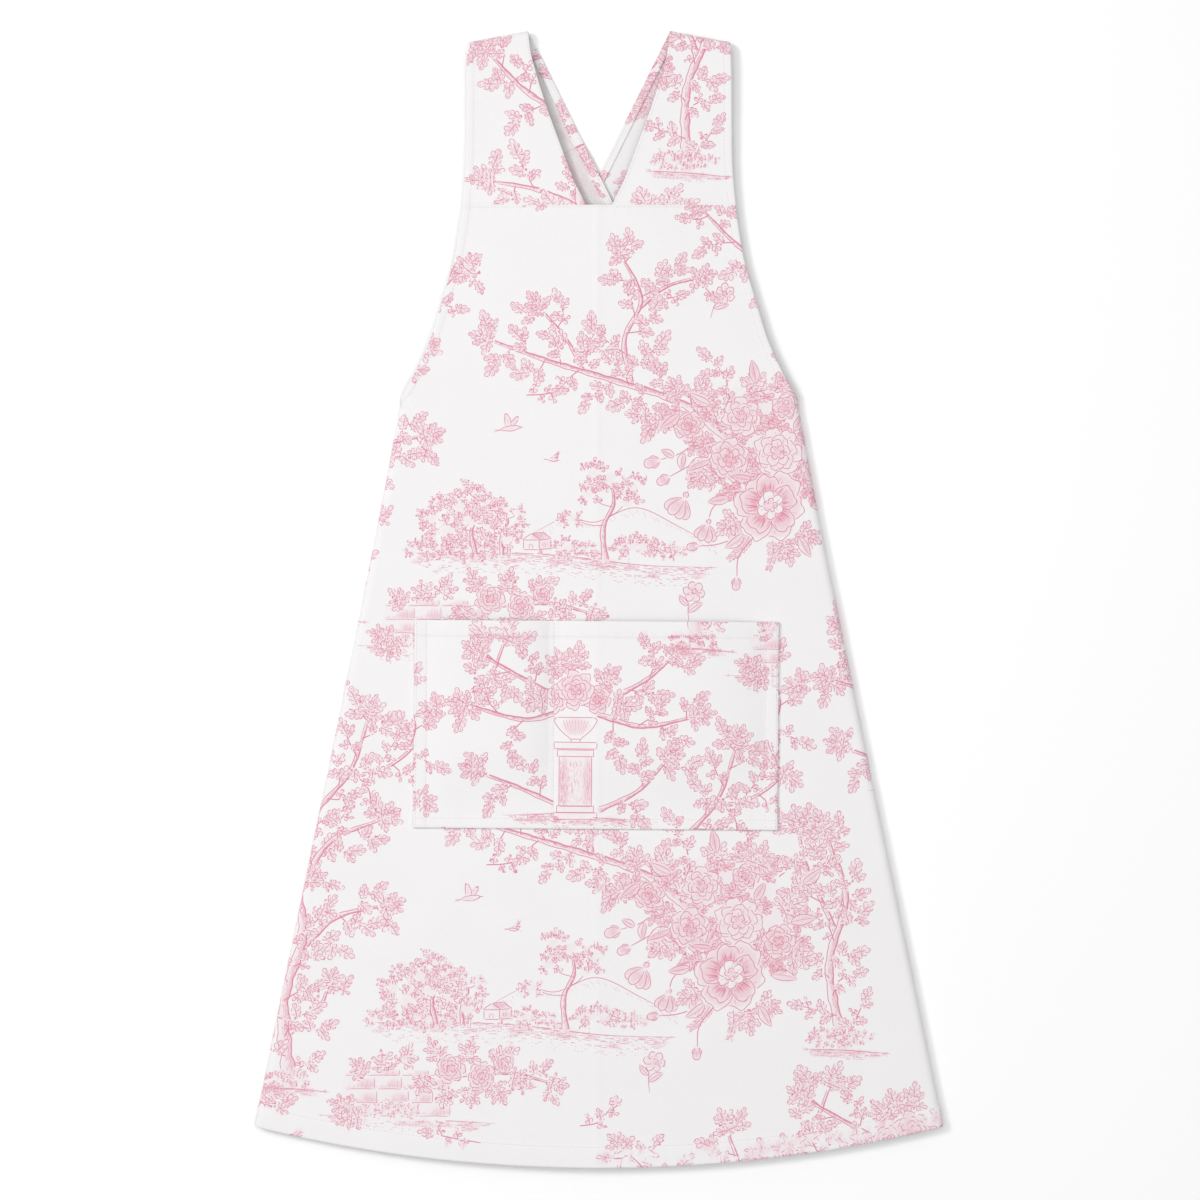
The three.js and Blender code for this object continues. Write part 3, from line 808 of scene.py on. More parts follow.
    def petal_ring(self, centre, radius, count, turn, width, depth, hatch, weight=LINE):
        """A ring of broad petals, hatched from the middle outwards."""
        for k in range(count):
            way = facing(turn + 360 * k / count + self.rand(-6, 6))
            size = radius * self.rand(0.9, 1.08)
            half = radius * width * self.rand(0.9, 1.1)
            s = np.linspace(-0.72 * math.pi, 0.72 * math.pi, max(14, int(size * 2.2)))
            ripple = 1 + 0.05 * np.cos(4.5 * s + self.rand(0, 6)) + 0.028 * np.cos(9 * s + self.rand(0, 6))
            x = size * (0.5 + 0.5 * np.cos(s)) * ripple
            y = half * np.sin(s) * (0.55 + 0.5 * x / size)
            self.line(centre + way * (x + 1j * y), weight, (0.8, 0.8))
            for _ in range(hatch):
                lean = self.rand(-0.9, 0.9)
                start = size * self.rand(0.2, 0.42)
                reach = size * self.rand(0.52, 0.92) * (1 - 0.1 * abs(lean))
                inner, outer = start + 0.45j * half * lean, reach + 0.92j * half * lean
                bend = (inner + outer) / 2 + 0.08j * half * lean
                self.line(centre + way * curve_through([inner, bend, outer]), FINE, (0.9, 0.15))
            angle = heading(way)
            self.fill(centre + way * size * 0.42, size * 0.34, half * 0.6, angle, depth, cover=False)
            self.fill(centre + way * size * 0.66, size * 0.31, half * 0.92, angle, depth * 0.62)
            self.fill(centre + way * size * 0.4, size * 0.4, half * 0.62, angle, depth)

    def poppy(self, centre, radius, turn=0.0):
        """A wide open bloom: a small pale flower in the middle of broad hatched petals."""
        self.dots(centre, radius * 0.1, 6)
        self.petal_ring(centre, radius * 0.22, 5, turn, 0.42, 0.4, 2)
        self.petal_ring(centre, radius * 0.44, 6, turn + 25, 0.42, 0.05, 3)
        self.petal_ring(centre, radius * 0.9, 5, turn + 12, 0.5, 0.8, 22)
        self.petal_ring(centre, radius * 1.08, 6, turn + 44, 0.5, 0.55, 20)

    def peony(self, centre, radius, turn=0.0, depth=0.4):
        """A full bloom of four rings of petals, deeper towards the middle of each ring."""
        self.dots(centre, radius * 0.1, 4)
        self.petal_ring(centre, radius * 0.34, 4, turn + 50, 0.5, depth * 1.3, 3)
        for share, count, more, width, deep, hatch in (
            (0.6, 5, 20, 0.46, 0.9, 7), (0.84, 6, 80, 0.46, 1.1, 8), (1.06, 7, 0, 0.42, 0.8, 8),
        ):
            reach, deep = radius * share, depth * deep
            self.petal_ring(centre, reach, count, turn + more, width, deep, hatch, LINE * 0.9)

    def daisy(self, centre, radius):
        """A small flower: a ring of six petals round a ring of five."""
        self.petal_ring(centre, radius * 0.34, 5, 0, 0.4, 0.55, 0)
        self.petal_ring(centre, radius, 6, self.rand(0, 50), 0.42, 0.3, 2)

    def bud(self, base, angle, size):
        """A closed flower between two narrow leaves."""
        self.lobe(base, angle, size, size * 0.34, LINE, 0.45, 3)
        for lean in (26, -26):
            self.lobe(base, angle + lean, size * 0.66, size * 0.2, LINE, 0.38, 1)

    def bell(self, base, angle, size):
        """A hanging bell of overlapping petals."""
        for lean in (-14, 14, -34, 34):
            self.lobe(base, angle + lean, size, size * 0.28, LINE, 0.46, 4)
        self.lobe(base, angle + 180, size * 0.3, size * 0.16, LINE, 0.5, 1)

    def dots(self, centre, radius, count):
        """A ring of dots, the middle of a flower."""
        for k in range(count):
            at = centre + facing(360 * k / count + self.rand(-20, 20)) * radius
            self.line([at - 0.25, at + 0.25], BOLD * 0.8, (1, 1))

    # Boughs

    def course(self, path):
        """Places along a curve and its direction at each of them."""
        samples = curve_through(path, 2.0)
        way = np.gradient(samples)
        return samples, way / np.abs(way)

    def bark(self, samples, way, start, end):
        """A bough's two edges, its shading and its pale wood; a thin one is a single stroke."""
        if start < 1.0:
            self.line(samples, start, (1, 0.45))
            return
        t = np.linspace(0, 1, len(samples))
        knots = 1 + 0.16 * np.sin(len(samples) * 0.55 * t + self.rand(0, 6))
        knots = knots + 0.08 * np.sin(len(samples) * 1.3 * t)
        half = (start + (end - start) * t**0.8) * knots
        for side in (-1, 1):
            self.line(samples + side * 1j * way * half, LINE * (1.7 if side < 0 else 1.1), (0.8, 0.5))
        for k in range(len(samples) - 3):
            for shade in (-0.75, -0.5, -0.2, 0.1):
                if half[k] < 0.8 or self.rand(0, 1) > 0.36 + 0.45 * (shade < -0.3):
                    continue
                run = samples[k : k + 3] + shade * 1j * way[k : k + 3] * half[k : k + 3]
                self.line(run, FINE, (0.5, 0.2))
        for k in range(len(samples)):
            angle = heading(way[k])
            self.fill(samples[k] - 0.5j * way[k] * half[k], 1.6, half[k] * 0.5, angle, 0.5, cover=False)
            self.fill(samples[k], 1.6, half[k] * 0.92, angle, 0.22)

    def twig(self, base, angle, length, size, bloom=0.0, curl=None):
        """A thin branch with leaves at its sides and a leaf, bud or flower at its end."""
        curl = self.rand(-30, 30) if curl is None else curl
        mid = base + facing(angle - curl * 0.4) * length * 0.52
        samples, way = self.course([base, mid, base + facing(angle + curl * 0.5) * length])
        last = heading(way[-1])
        if self.rand(0, 1) < bloom:
            if self.rand(0, 1) < 0.55:
                self.daisy(samples[-1] + facing(last) * size * 0.4, size * 0.45)
            else:
                self.bud(samples[-1], last, size * 0.6)
        else:
            self.leaf(samples[-1], last, size)
        for k, share in enumerate(np.arange(0.84, 0.2, -max(0.18, 0.46 * size / max(length, 1)))):
            at = samples[int(share * (len(samples) - 1))]
            side = 1 if k % 2 else -1
            self.leaf(at, last + side * self.rand(52, 78), size * self.rand(0.7, 0.95))
        self.bark(samples, way, LINE * 1.5, LINE)

    def bough(self, path, start, end, size=14.5, every=14.5, reach=29.0, bloom=0.0):
        """A branch with twigs along it on either side in turn, and leaves at its end."""
        samples, way = self.course(path)
        self.spray(samples[-1], heading(way[-1]), size * 1.2)
        total = float(np.sum(np.abs(np.diff(samples))))
        count = max(1, int(total / every))
        for k in range(count - 1, -1, -1):
            share = (k + 0.75) / count
            index = min(len(samples) - 1, int(share * (len(samples) - 1)))
            angle = heading(way[index]) + (-1, 1)[k % 2] * self.rand(38, 68)
            length = reach * self.rand(0.6, 1.15) * (1.1 - 0.4 * share)
            self.twig(samples[index], angle, length, size * self.rand(0.85, 1.1), bloom)
        self.bark(samples, way, start, end)

    # Birds, trees and ground

    def bird(self, at, angle, size, flap=1.0):
        """A small bird on the wing."""
        turn = facing(angle) * size
        body = (-0.5, -0.2 + 0.12j, 0.25 + 0.13j, 0.52 + 0.06j, 0.62, 0.5 - 0.05j, 0.1 - 0.14j, -0.5)
        self.line(at + turn * curve_through(body, 0.08), LINE, (0.8, 0.8))
        self.line(at + turn * np.array([0.6 + 0.01j, 0.78 - 0.03j]), LINE, (1, 0.2))
        for lean in (-8, 2, 12):
            self.line(at + turn * np.array([-0.45, -0.45 - 0.42 * facing(lean)]), FINE, (1, 0.4))
        for root, lean, length in ((0.12 + 0.1j, 104 * flap, 0.78), (0.22 + 0.08j, 58 * flap, 0.62)):
            tip, back = root + facing(lean) * length, root - 0.3 + 0.02j
            edge = curve_through([root, (root + tip) / 2 + 0.1, tip, (tip + back) / 2 - 0.04, back], 0.09)
            self.line(at + turn * edge, LINE, (0.7, 0.5))
            for share in (0.25, 0.45, 0.65):
                a, b = root + (tip - root) * share, back + (tip - back) * share
                self.line(at + turn * np.array([a, b + (a - b) * 0.25]), FINE, (1, 0.3))
            wing = at + turn * ((root + tip) / 2 - 0.08)
            self.fill(wing, size * length * 0.4, size * 0.13, angle + lean, 0.3)
        self.fill(at, size * 0.45, size * 0.12, angle, 0.28)

    def tuft(self, centre, radius):
        """A leafy mass of the far view: small leaves turned outwards from its middle."""
        spots = [radius * 0.72 * math.sqrt(self.rand(0, 1)) * facing(self.rand(0, 360)) for _ in range(9)]
        for out in sorted(spots, key=lambda z: z.imag):
            angle = heading(out + 0.25j * radius) + self.rand(-55, 55)
            at = centre + complex(out.real, out.imag * 0.75)
            self.leaf(at, angle, radius * self.rand(0.62, 0.85), self.rand(0.1, 0.4))
        self.fill(centre, radius * 0.42, radius * 0.34, 0, 0.14)

    def bush(self, foot, width, height):
        """A low bush: leafy masses side by side on the ground."""
        for x in np.arange(-width / 2, width / 2, height * 0.6):
            centre = foot + complex(x + self.rand(-1, 1), height * self.rand(0.3, 0.5))
            self.tuft(centre, height * self.rand(0.5, 0.75))

    def little_tree(self, foot, height, lean=0.0):
        """A tree of the far view: a bent trunk whose limbs leave it in turn to each side."""
        bends = ((0, 0), (lean - 0.07 * height, 0.34), (lean + 0.04 * height, 0.6), (lean, 0.86))
        samples, way = self.course([foot + complex(x, share * height) for x, share in bends])
        limbs = []
        for k, share in enumerate((0.95, 0.78, 0.66, 0.54, 0.42)):
            at = samples[int(share * (len(samples) - 1))]
            across = (1 if k % 2 else -1) * self.rand(0.2, 0.34) * (1.25 - 0.6 * share)
            limbs.append((at, at + height * complex(across, self.rand(0.06, 0.17))))
        for spot in [samples[-1]] + [limb[1] for limb in limbs]:
            self.tuft(spot, height * self.rand(0.12, 0.16))
        for a, b in limbs:
            self.line(curve_through([a, (a + b) / 2 - 0.03j * height, b]), LINE, (1, 0.5))
        self.bark(samples, way, max(1.1, height * 0.032), 0.6)
        self.grass(foot, height * 0.3, 8)

    def grass(self, foot, width, count):
        """Short upright blades on both sides of a place."""
        for _ in range(count):
            at = foot + self.rand(-width, width)
            self.line([at, at + complex(self.rand(-1.6, 1.6), self.rand(1.5, 3.6))], FINE, (1, 0.2))

    def bank(self, points, drop, rows):
        """A sloping bank: strokes that thin out downwards, slanting hatching, and grass on its edge."""
        edge = curve_through(points, 3.0)
        self.line(edge, LINE, (0.3, 0.3))
        for _ in range(int(len(edge) * rows * 0.8)):
            depth = self.rand(0.02, 1) ** 1.5
            start = edge[int(self.rand(2 + 5 * depth, len(edge) - 3 - 7 * depth))] - 1j * drop * depth
            stroke = facing(self.rand(-9, 3)) * self.rand(2.5, 8) * (1.1 - 0.6 * depth)
            self.line([start, start + stroke * (0.5 + 0.05j), start + stroke], FINE * 1.1, (0.4, 0.2))
        for _ in range(rows * 3):
            start = edge[int(self.rand(2, len(edge) - 6))] - 1j * drop * self.rand(0.02, 0.5)
            for m in range(int(self.rand(5, 11))):
                stroke = start + 1.25 * m + self.rand(-0.3, 0.3)
                self.line([stroke, stroke + complex(-3.4, -2.6) * self.rand(0.7, 1.1)], FINE, (0.9, 0.3))
            self.fill(start + 4, 7, 2.4, -6, 0.26, cover=False)
        for _ in range(rows * 3):
            self.grass(edge[int(self.rand(1, len(edge) - 2))] - 1j * drop * self.rand(0, 0.4), 2.5, 5)

    def hill(self, points, hatch):
        """A hill's line, with short slanting strokes below it."""
        samples = curve_through(points, 2.2)
        self.line(samples, LINE, (0.5, 0.3))
        for k in range(2, len(samples) - 1):
            if self.rand(0, 1) < hatch:
                at = samples[k] - 1j * self.rand(0.8, 4.0)
                self.line([at, at + facing(-58) * self.rand(2.5, 6)], FINE * 0.9, (0.8, 0.2))

    def edges(self, pairs, weight=LINE):
        """Straight lines of an even weight."""
        for a, b in pairs:
            self.line(curve_through([a, b], 2.0), weight, (1, 1))

    def box(self, corner, width, height, weight=LINE):
        """The four sides of an upright box."""
        outline = [corner, corner + width, corner + width + 1j * height, corner + 1j * height, corner]
        self.edges(zip(outline[:-1], outline[1:]), weight)

    def cottage(self, corner, size):
        """A small house with a steep roof, a door and a chimney."""
        eave, wall = corner + 0.62j * size, corner + size
        ridge, back = eave + size * complex(0.5, 0.42), size * complex(0.75, 0.08)
        self.edges((
            (eave - size * 0.1, ridge), (ridge, eave + size * 1.1),
            (wall, wall + back), (ridge, ridge + back),
            (wall + 0.62j * size, wall + 0.62j * size + back), (wall + back, wall + back + 0.6j * size),
            (eave + size * 1.1 + back * 0.94, ridge + back),
        ))
        self.box(corner, size, size * 0.62)
        for share in np.linspace(0.12, 0.9, 7):
            a = ridge + back * share
            self.line([a, a + size * complex(0.55, -0.4)], FINE, (0.8, 0.5))
        self.box(corner + size * 0.36, size * 0.22, size * 0.34, FINE * 1.2)
        self.box(corner + size * complex(1.25, 0.2), size * 0.16, size * 0.2, FINE * 1.2)
        self.box(ridge + size * complex(0.2, -0.05), size * 0.12, size * 0.22, FINE * 1.2)
        self.fill(wall + back * 0.5 + 0.3j * size, size * 0.4, size * 0.3, 0, 0.36)
        self.fill(ridge + back * 0.5 - 0.2j * size, size * 0.5, size * 0.16, 0, 0.42)
        self.fill(corner + size * complex(0.5, 0.36), size * 0.5, size * 0.36, 0, 0.08)

    def pedestal(self, foot, width, height):
        """A stone pedestal with mouldings and a shaded side."""
        for share, wide in ((0.0, 1.34), (0.09, 1.14), (0.82, 1.12), (0.92, 1.32)):
            self.box(foot + complex(-width * wide / 2, height * share), width * wide, height * 0.085)
        self.box(foot + complex(-width / 2, height * 0.17), width, height * 0.65)
        for _ in range(int(width * 9)):
            across = self.rand(0, 1) ** 1.6
            at = foot + complex(width * (0.94 * across - 0.47), height * self.rand(0.17, 0.74))
            end = at + complex(self.rand(-0.3, 0.3), height * self.rand(0.03, 0.09))
            self.line([at, end], FINE, (0.5, 0.4))
        for share in (-0.34, 0.38):
            middle = foot + complex(width * share, height * 0.5)
            self.fill(middle, width * 0.15, height * 0.36, 0, 0.44, cover=False)
        for share in np.linspace(0.05, 0.95, 12):
            self.fill(foot + 1j * height * share, width * 0.54, height * 0.06, 0, 0.1)

    def urn(self, foot, width):
        """A footed stone bowl."""
        side = np.array([0.12, 0.14 + 0.1j, 0.42 + 0.34j, 0.6 + 0.62j, 0.5 + 0.7j])
        for mirror in (1, -1):
            outline = [complex(mirror * z.real, z.imag) * width + foot for z in side]
            self.line(curve_through(outline, 1.4), LINE, (1, 1))
        for share, half in ((0.1, 0.14), (0.7, 0.5)):
            level = foot + 1j * share * width
            self.edges([(level - half * width, level + half * width)])
        for k in range(9):
            x = -0.36 + 0.09 * k
            flute = [foot + width * complex(x * 0.5, 0.2), foot + width * complex(x, 0.64)]
            self.line(flute, FINE, (0.3, 0.8))
        self.fill(foot + 0.45j * width, width * 0.4, width * 0.24, 0, 0.32)

    def wall(self, corner, width, height, courses):
        """A low garden wall: a coping over courses of hewn blocks, each hatched on its shaded side."""
        rise = height / courses
        for k in range(courses, -1, -1):
            x = -self.rand(0, 6)
            while x < width:
                long = self.rand(1.5, 2.5) * rise
                at = corner + complex(x, rise * k)
                tall = rise * (0.45 if k == courses else 0.9)
                top = curve_through([0, long * 0.48 + 0.4j, long * 0.95])
                side = curve_through([0, 0.5j * tall + 0.3, 1j * tall])
                self.line(at + top, FINE * 1.3, (0.5, 0.9))
                self.line(at + long * 0.95 + side, FINE * 1.3, (0.9, 0.5))
                for m in range(int(long / 1.1)):
                    foot = at + complex(long * 0.92 - 1.1 * m, tall * 0.08)
                    up = tall * self.rand(0.3, 0.85) * (1 - 0.75 * m * 1.1 / long)
                    self.line([foot, foot + complex(-0.5, up)], FINE, (0.9, 0.3))
                shaded = at + complex(long * 0.68, tall * 0.45)
                self.fill(shaded, long * 0.3, tall * 0.42, 0, 0.34, cover=False)
                x += long
        for share in np.linspace(0, 1, 9):
            self.fill(corner + complex(width * share, height * 0.5), width * 0.08, height * 0.62, 0, 0.08)

    def hang(self, path, bloom, size):
        """A bell or a bud at the end of its own stem."""
        samples, way = self.course(path)
        bloom(samples[-1], heading(way[-1]), size)
        self.line(samples, LINE * 1.3, (1, 0.7))

    def sprig(self, at, angle, size):
        """A small cut flower with two leaves, to fill the open ground."""
        stem = curve_through([at, at + facing(angle + 12) * size * 0.6, at + facing(angle) * size * 1.1], 1.5)
        self.daisy(stem[-1], size * 0.38)
        self.blade(stem[len(stem) // 3], angle - 48, size * 0.62, size * 0.12)
        self.blade(stem[len(stem) // 2], angle + 50, size * 0.5, size * 0.1)
        self.line(stem, LINE * 0.9, (0.8, 0.6))


def draw_flowers(p):
    """Flowers where the boughs meet, nearest first, and the leaves and ferns among them."""
    p.poppy(496 + 84j, 27, 10)
    for x, y, angle, size in (
        (474, 60, 215, 20), (520, 58, 300, 20), (530, 84, 350, 22), (462, 90, 190, 19), (446, 122, 205, 22),
        (546, 128, 10, 22), (480, 106, 170, 17), (516, 146, 60, 18), (446, 168, 150, 20), (556, 160, 40, 20),
        (420, 160, 215, 20), (484, 186, 100, 20),
    ):
        p.blade(complex(x, y), angle, size, size * 0.2, p.rand(0.3, 0.6))
    for x, y, radius, turn, depth in (
        (462, 122, 17, 30, 0.62), (502, 128, 19, 0, 0.42), (428, 150, 12, 12, 0.72), (472, 158, 15, 40, 0.5),
        (536, 112, 14, 5, 0.7), (508, 166, 11, 50, 0.66), (482, 106, 9, 0, 0.8),
    ):
        p.peony(complex(x, y), radius, turn, depth)
    for x, y, angle, size in (
        (484, 178, 100, 18), (540, 138, 30, 18), (444, 172, 120, 18), (522, 62, -30, 17), (466, 72, 222, 17),
        (440, 112, 230, 17), (546, 98, 0, 18), (408, 154, 190, 16), (518, 176, 70, 18), (552, 158, 20, 17),
        (420, 176, 120, 16), (392, 160, 180, 15), (508, 52, 285, 16),
    ):
        p.spray(complex(x, y), angle, size)
    for x, y, angle in (
        (482, 146, 80), (516, 138, 20), (448, 136, 200), (518, 112, -20), (484, 128, 250), (452, 110, 215),
        (522, 168, 40), (488, 172, 110), (550, 132, 0), (416, 158, 160), (446, 162, 120), (470, 98, 200),
        (476, 140, 140), (500, 148, 90), (528, 98, -40), (438, 140, 230), (548, 112, -20), (506, 180, 70),
    ):
        p.spray(complex(x, y), angle, 16, p.rand(0.4, 0.65))
    p.fill(494 + 134j, 62, 44, -28, 0.13, cover=False)


def draw_stems(p):
    """Bells, buds, ferns and twigs that hang and rise from the flowers, and the long bough to the left."""
    p.hang([452 + 112j, 434 + 106j, 424 + 90j], p.bell, 18)
    p.hang([462 + 92j, 448 + 82j, 444 + 68j], p.bell, 15)
    p.blade(424 + 128j, 262, 15, 3.4, 0.4)
    p.blade(416 + 124j, 150, 13, 3.0, 0.4)
    p.hang([436 + 140j, 422 + 128j, 404 + 122j], p.bud, 14)
    p.blade(432 + 118j, 250, 12, 2.8, 0.4)
    p.hang([446 + 128j, 430 + 118j, 412 + 108j], p.bud, 12)
    p.hang([486 + 62j, 470 + 42j, 468 + 24j], p.bud, 11)
    p.hang([478 + 62j, 454 + 52j, 436 + 50j], p.bud, 10)
    p.fern(480 + 60j, 228, 28)
    p.fern(498 + 56j, 262, 26)
    p.twig(500 + 180j, 72, 42, 14, 0.3)
    p.twig(536 + 166j, 36, 38, 14, 0.3)
    p.twig(462 + 172j, 108, 38, 14, 0.3)
    p.bough([462 + 138j, 424 + 168j, 372 + 186j, 312 + 204j, 262 + 222j], 3.6, 1.0)
    p.bough([380 + 184j, 374 + 222j, 388 + 256j, 372 + 292j], 2.2, 1.0)
    p.bough([386 + 248j, 408 + 266j, 434 + 274j], 1.4, 0.8, 13)
    p.bough([340 + 196j, 326 + 222j, 304 + 248j], 1.4, 0.8, 13)


def draw_far_view(p):
    """Birds over a cottage, trees and bushes on a bank, with a hill behind."""
    p.bird(278 + 148j, 8, 16)
    p.bird(314 + 122j, -4, 9, 0.5)
    p.twig(292 + 176j, 4, 26, 11, 0.0, 4)
    p.cottage(290 + 47j, 13)
    p.little_tree(358 + 38j, 80, 4)
    for x, wide, tall in (
        (322, 22, 13), (342, 14, 10), (382, 24, 16), (402, 18, 13), (422, 14, 9), (206, 18, 15),
    ):
        p.bush(complex(x, 43), wide, tall)
    for x, y, size in (
        (226, 62, 14), (246, 72, 15), (262, 66, 13), (276, 56, 11), (236, 84, 12), (258, 88, 11),
        (214, 74, 11),
    ):
        p.tuft(complex(x, y), size)
    for x, height in ((272, 46), (250, 60), (228, 50)):
        p.little_tree(complex(x, 42), height, p.rand(-3, 3))
    p.bush(246 + 42j, 60, 15)
    p.hill([300 + 62j, 326 + 74j, 350 + 70j, 384 + 82j, 420 + 66j, 452 + 48j], 0.7)
    p.bank([190 + 44j, 250 + 45j, 320 + 42j, 390 + 34j, 452 + 32j], 17, 8)


def draw_wall(p):
    """A garden wall and flowers under the far view."""
    for x, y, radius, turn in ((262, 6, 12, 0), (288, 0, 11, 30), (306, 9, 8, 0)):
        p.peony(complex(x, y), radius, turn, 0.6)
    p.sprays(15, (
        (252, 16, 120), (276, 14, 80), (300, 12, 40), (314, -2, 0), (278, -12, 270), (260, -12, 250),
        (298, -10, 310),
    ))
    p.bough([270 + 0j, 312 + 2j, 346 - 6j], 1.2, 0.8, 12, 14, 18)
    p.sprays(15, (
        (206, 6, 100), (222, 10, 60), (190, 2, 140), (240, -2, 250), (176, -26, 160), (184, -34, 200),
    ))
    p.bush(208 - 33j, 60, 10)
    p.wall(178 - 34j, 76, 34, 3)
    p.bank([150 - 33j, 210 - 35j, 300 - 40j], 12, 5)


def draw_left_tree(p):
    """The old tree at the left, with its boughs to both sides."""
    p.bush(126 - 8j, 32, 11)
    p.bank([98 - 10j, 128 - 11j, 162 - 14j], 7, 3)
    p.bough([128 - 10j, 122 + 60j, 138 + 116j, 132 + 170j], 6.0, 2.6)
    p.bough([136 + 104j, 166 + 132j, 206 + 142j], 2.8, 1.0)
    p.bough([134 + 150j, 160 + 194j, 204 + 214j], 2.6, 1.0)
    p.bough([133 + 166j, 146 + 214j, 178 + 254j, 194 + 300j], 2.4, 1.0)
    p.bough([174 + 248j, 210 + 258j, 240 + 282j], 1.6, 0.8, 13)
    p.bough([130 + 130j, 92 + 160j, 66 + 196j], 2.8, 1.0)
    p.bough([124 + 60j, 90 + 76j, 52 + 84j], 2.4, 1.0)
    p.bough([126 + 34j, 150 + 52j, 160 + 74j], 2.0, 1.0, 13)


def draw_pedestal(p):
    """A pedestal with an urn of flowers, among boughs."""
    p.peony(60 + 346j, 15, 0, 0.6)
    p.peony(40 + 338j, 12, 20, 0.5)
    p.peony(78 + 338j, 11, 40, 0.7)
    p.sprays(17, (
        (40, 356, 130), (62, 366, 90), (82, 352, 40), (24, 334, 190), (94, 334, -10), (48, 362, 110),
    ))
    p.urn(60 + 302j, 30)
    p.pedestal(60 + 238j, 27, 64)
    for path, start in (
        ([78 + 326j, 116 + 316j, 158 + 324j], 2.2), ([42 + 326j, 8 + 318j, -40 + 330j], 2.2),
        ([30 + 340j, 0 + 356j, -28 + 372j], 1.8), ([92 + 340j, 120 + 356j, 140 + 374j], 1.8),
        ([80 + 246j, 112 + 262j, 136 + 288j], 2.0), ([38 + 246j, 2 + 262j, -30 + 274j], 1.8),
    ):
        p.bough(path, start, 0.9, 14, 19)
    p.bank([-10 + 238j, 60 + 240j, 130 + 236j], 9, 5)


def draw_right_tree(p):
    """The tree at the right, and twigs and cut flowers on the open ground."""
    p.bush(590 + 26j, 50, 12)
    p.bank([556 + 22j, 592 + 21j, 630 + 18j], 8, 4)
    p.spray(540 + 253j, -36, 18)
    p.spray(556 + 328j, 200, 17)
    p.bough([590 + 24j, 578 + 92j, 592 + 148j, 574 + 204j], 4.2, 1.4)
    p.bough([584 + 120j, 560 + 172j, 552 + 206j], 2.0, 0.9)
    p.bough([540 + 252j, 506 + 276j, 470 + 300j, 440 + 330j], 2.6, 0.9)
    p.bough([516 + 268j, 536 + 308j, 526 + 346j], 1.8, 0.9)
    p.bough([560 + 330j, 596 + 350j, 612 + 384j], 2.0, 0.9)
    p.twig(320 + 336j, 170, 40, 13, 0.5)
    p.twig(250 + 270j, 150, 32, 12, 0.3)
    p.twig(402 + 350j, 20, 32, 12, 0.5)
    p.sprig(446 + 240j, 60, 22)
    p.sprig(212 + 344j, 100, 22)
    p.sprig(428 - 14j, 80, 24)


def draw_repeat():
    """The whole repeat, from front to back: what comes first hides what comes after."""
    plate = Plate(PRINT_SEED)
    for draw in (
        draw_flowers, draw_stems, draw_far_view, draw_wall, draw_left_tree, draw_pedestal, draw_right_tree,
    ):
        draw(plate)
    return plate


# The print on the cloth: every face corner keeps its distance from the strokes near it

PRINT_LAYERS = ("print_a", "print_b", "print_c", "print_d")
SLOTS = 8
BIN = 3.0
PAD = 6.0
SAMPLE = 0.9
WINDOW = 4
FAR = 9.0
CROSS = (0, 0.6, -0.6, 0.6j, -0.6j)
INK_MARGIN = 0.25
COPIES = (-2, -1, 0, 1, 2)
AROUND = (-1, 0, 1)
BINS_ACROSS = int((REPEAT_WIDTH + 2 * PAD) / BIN) + 3


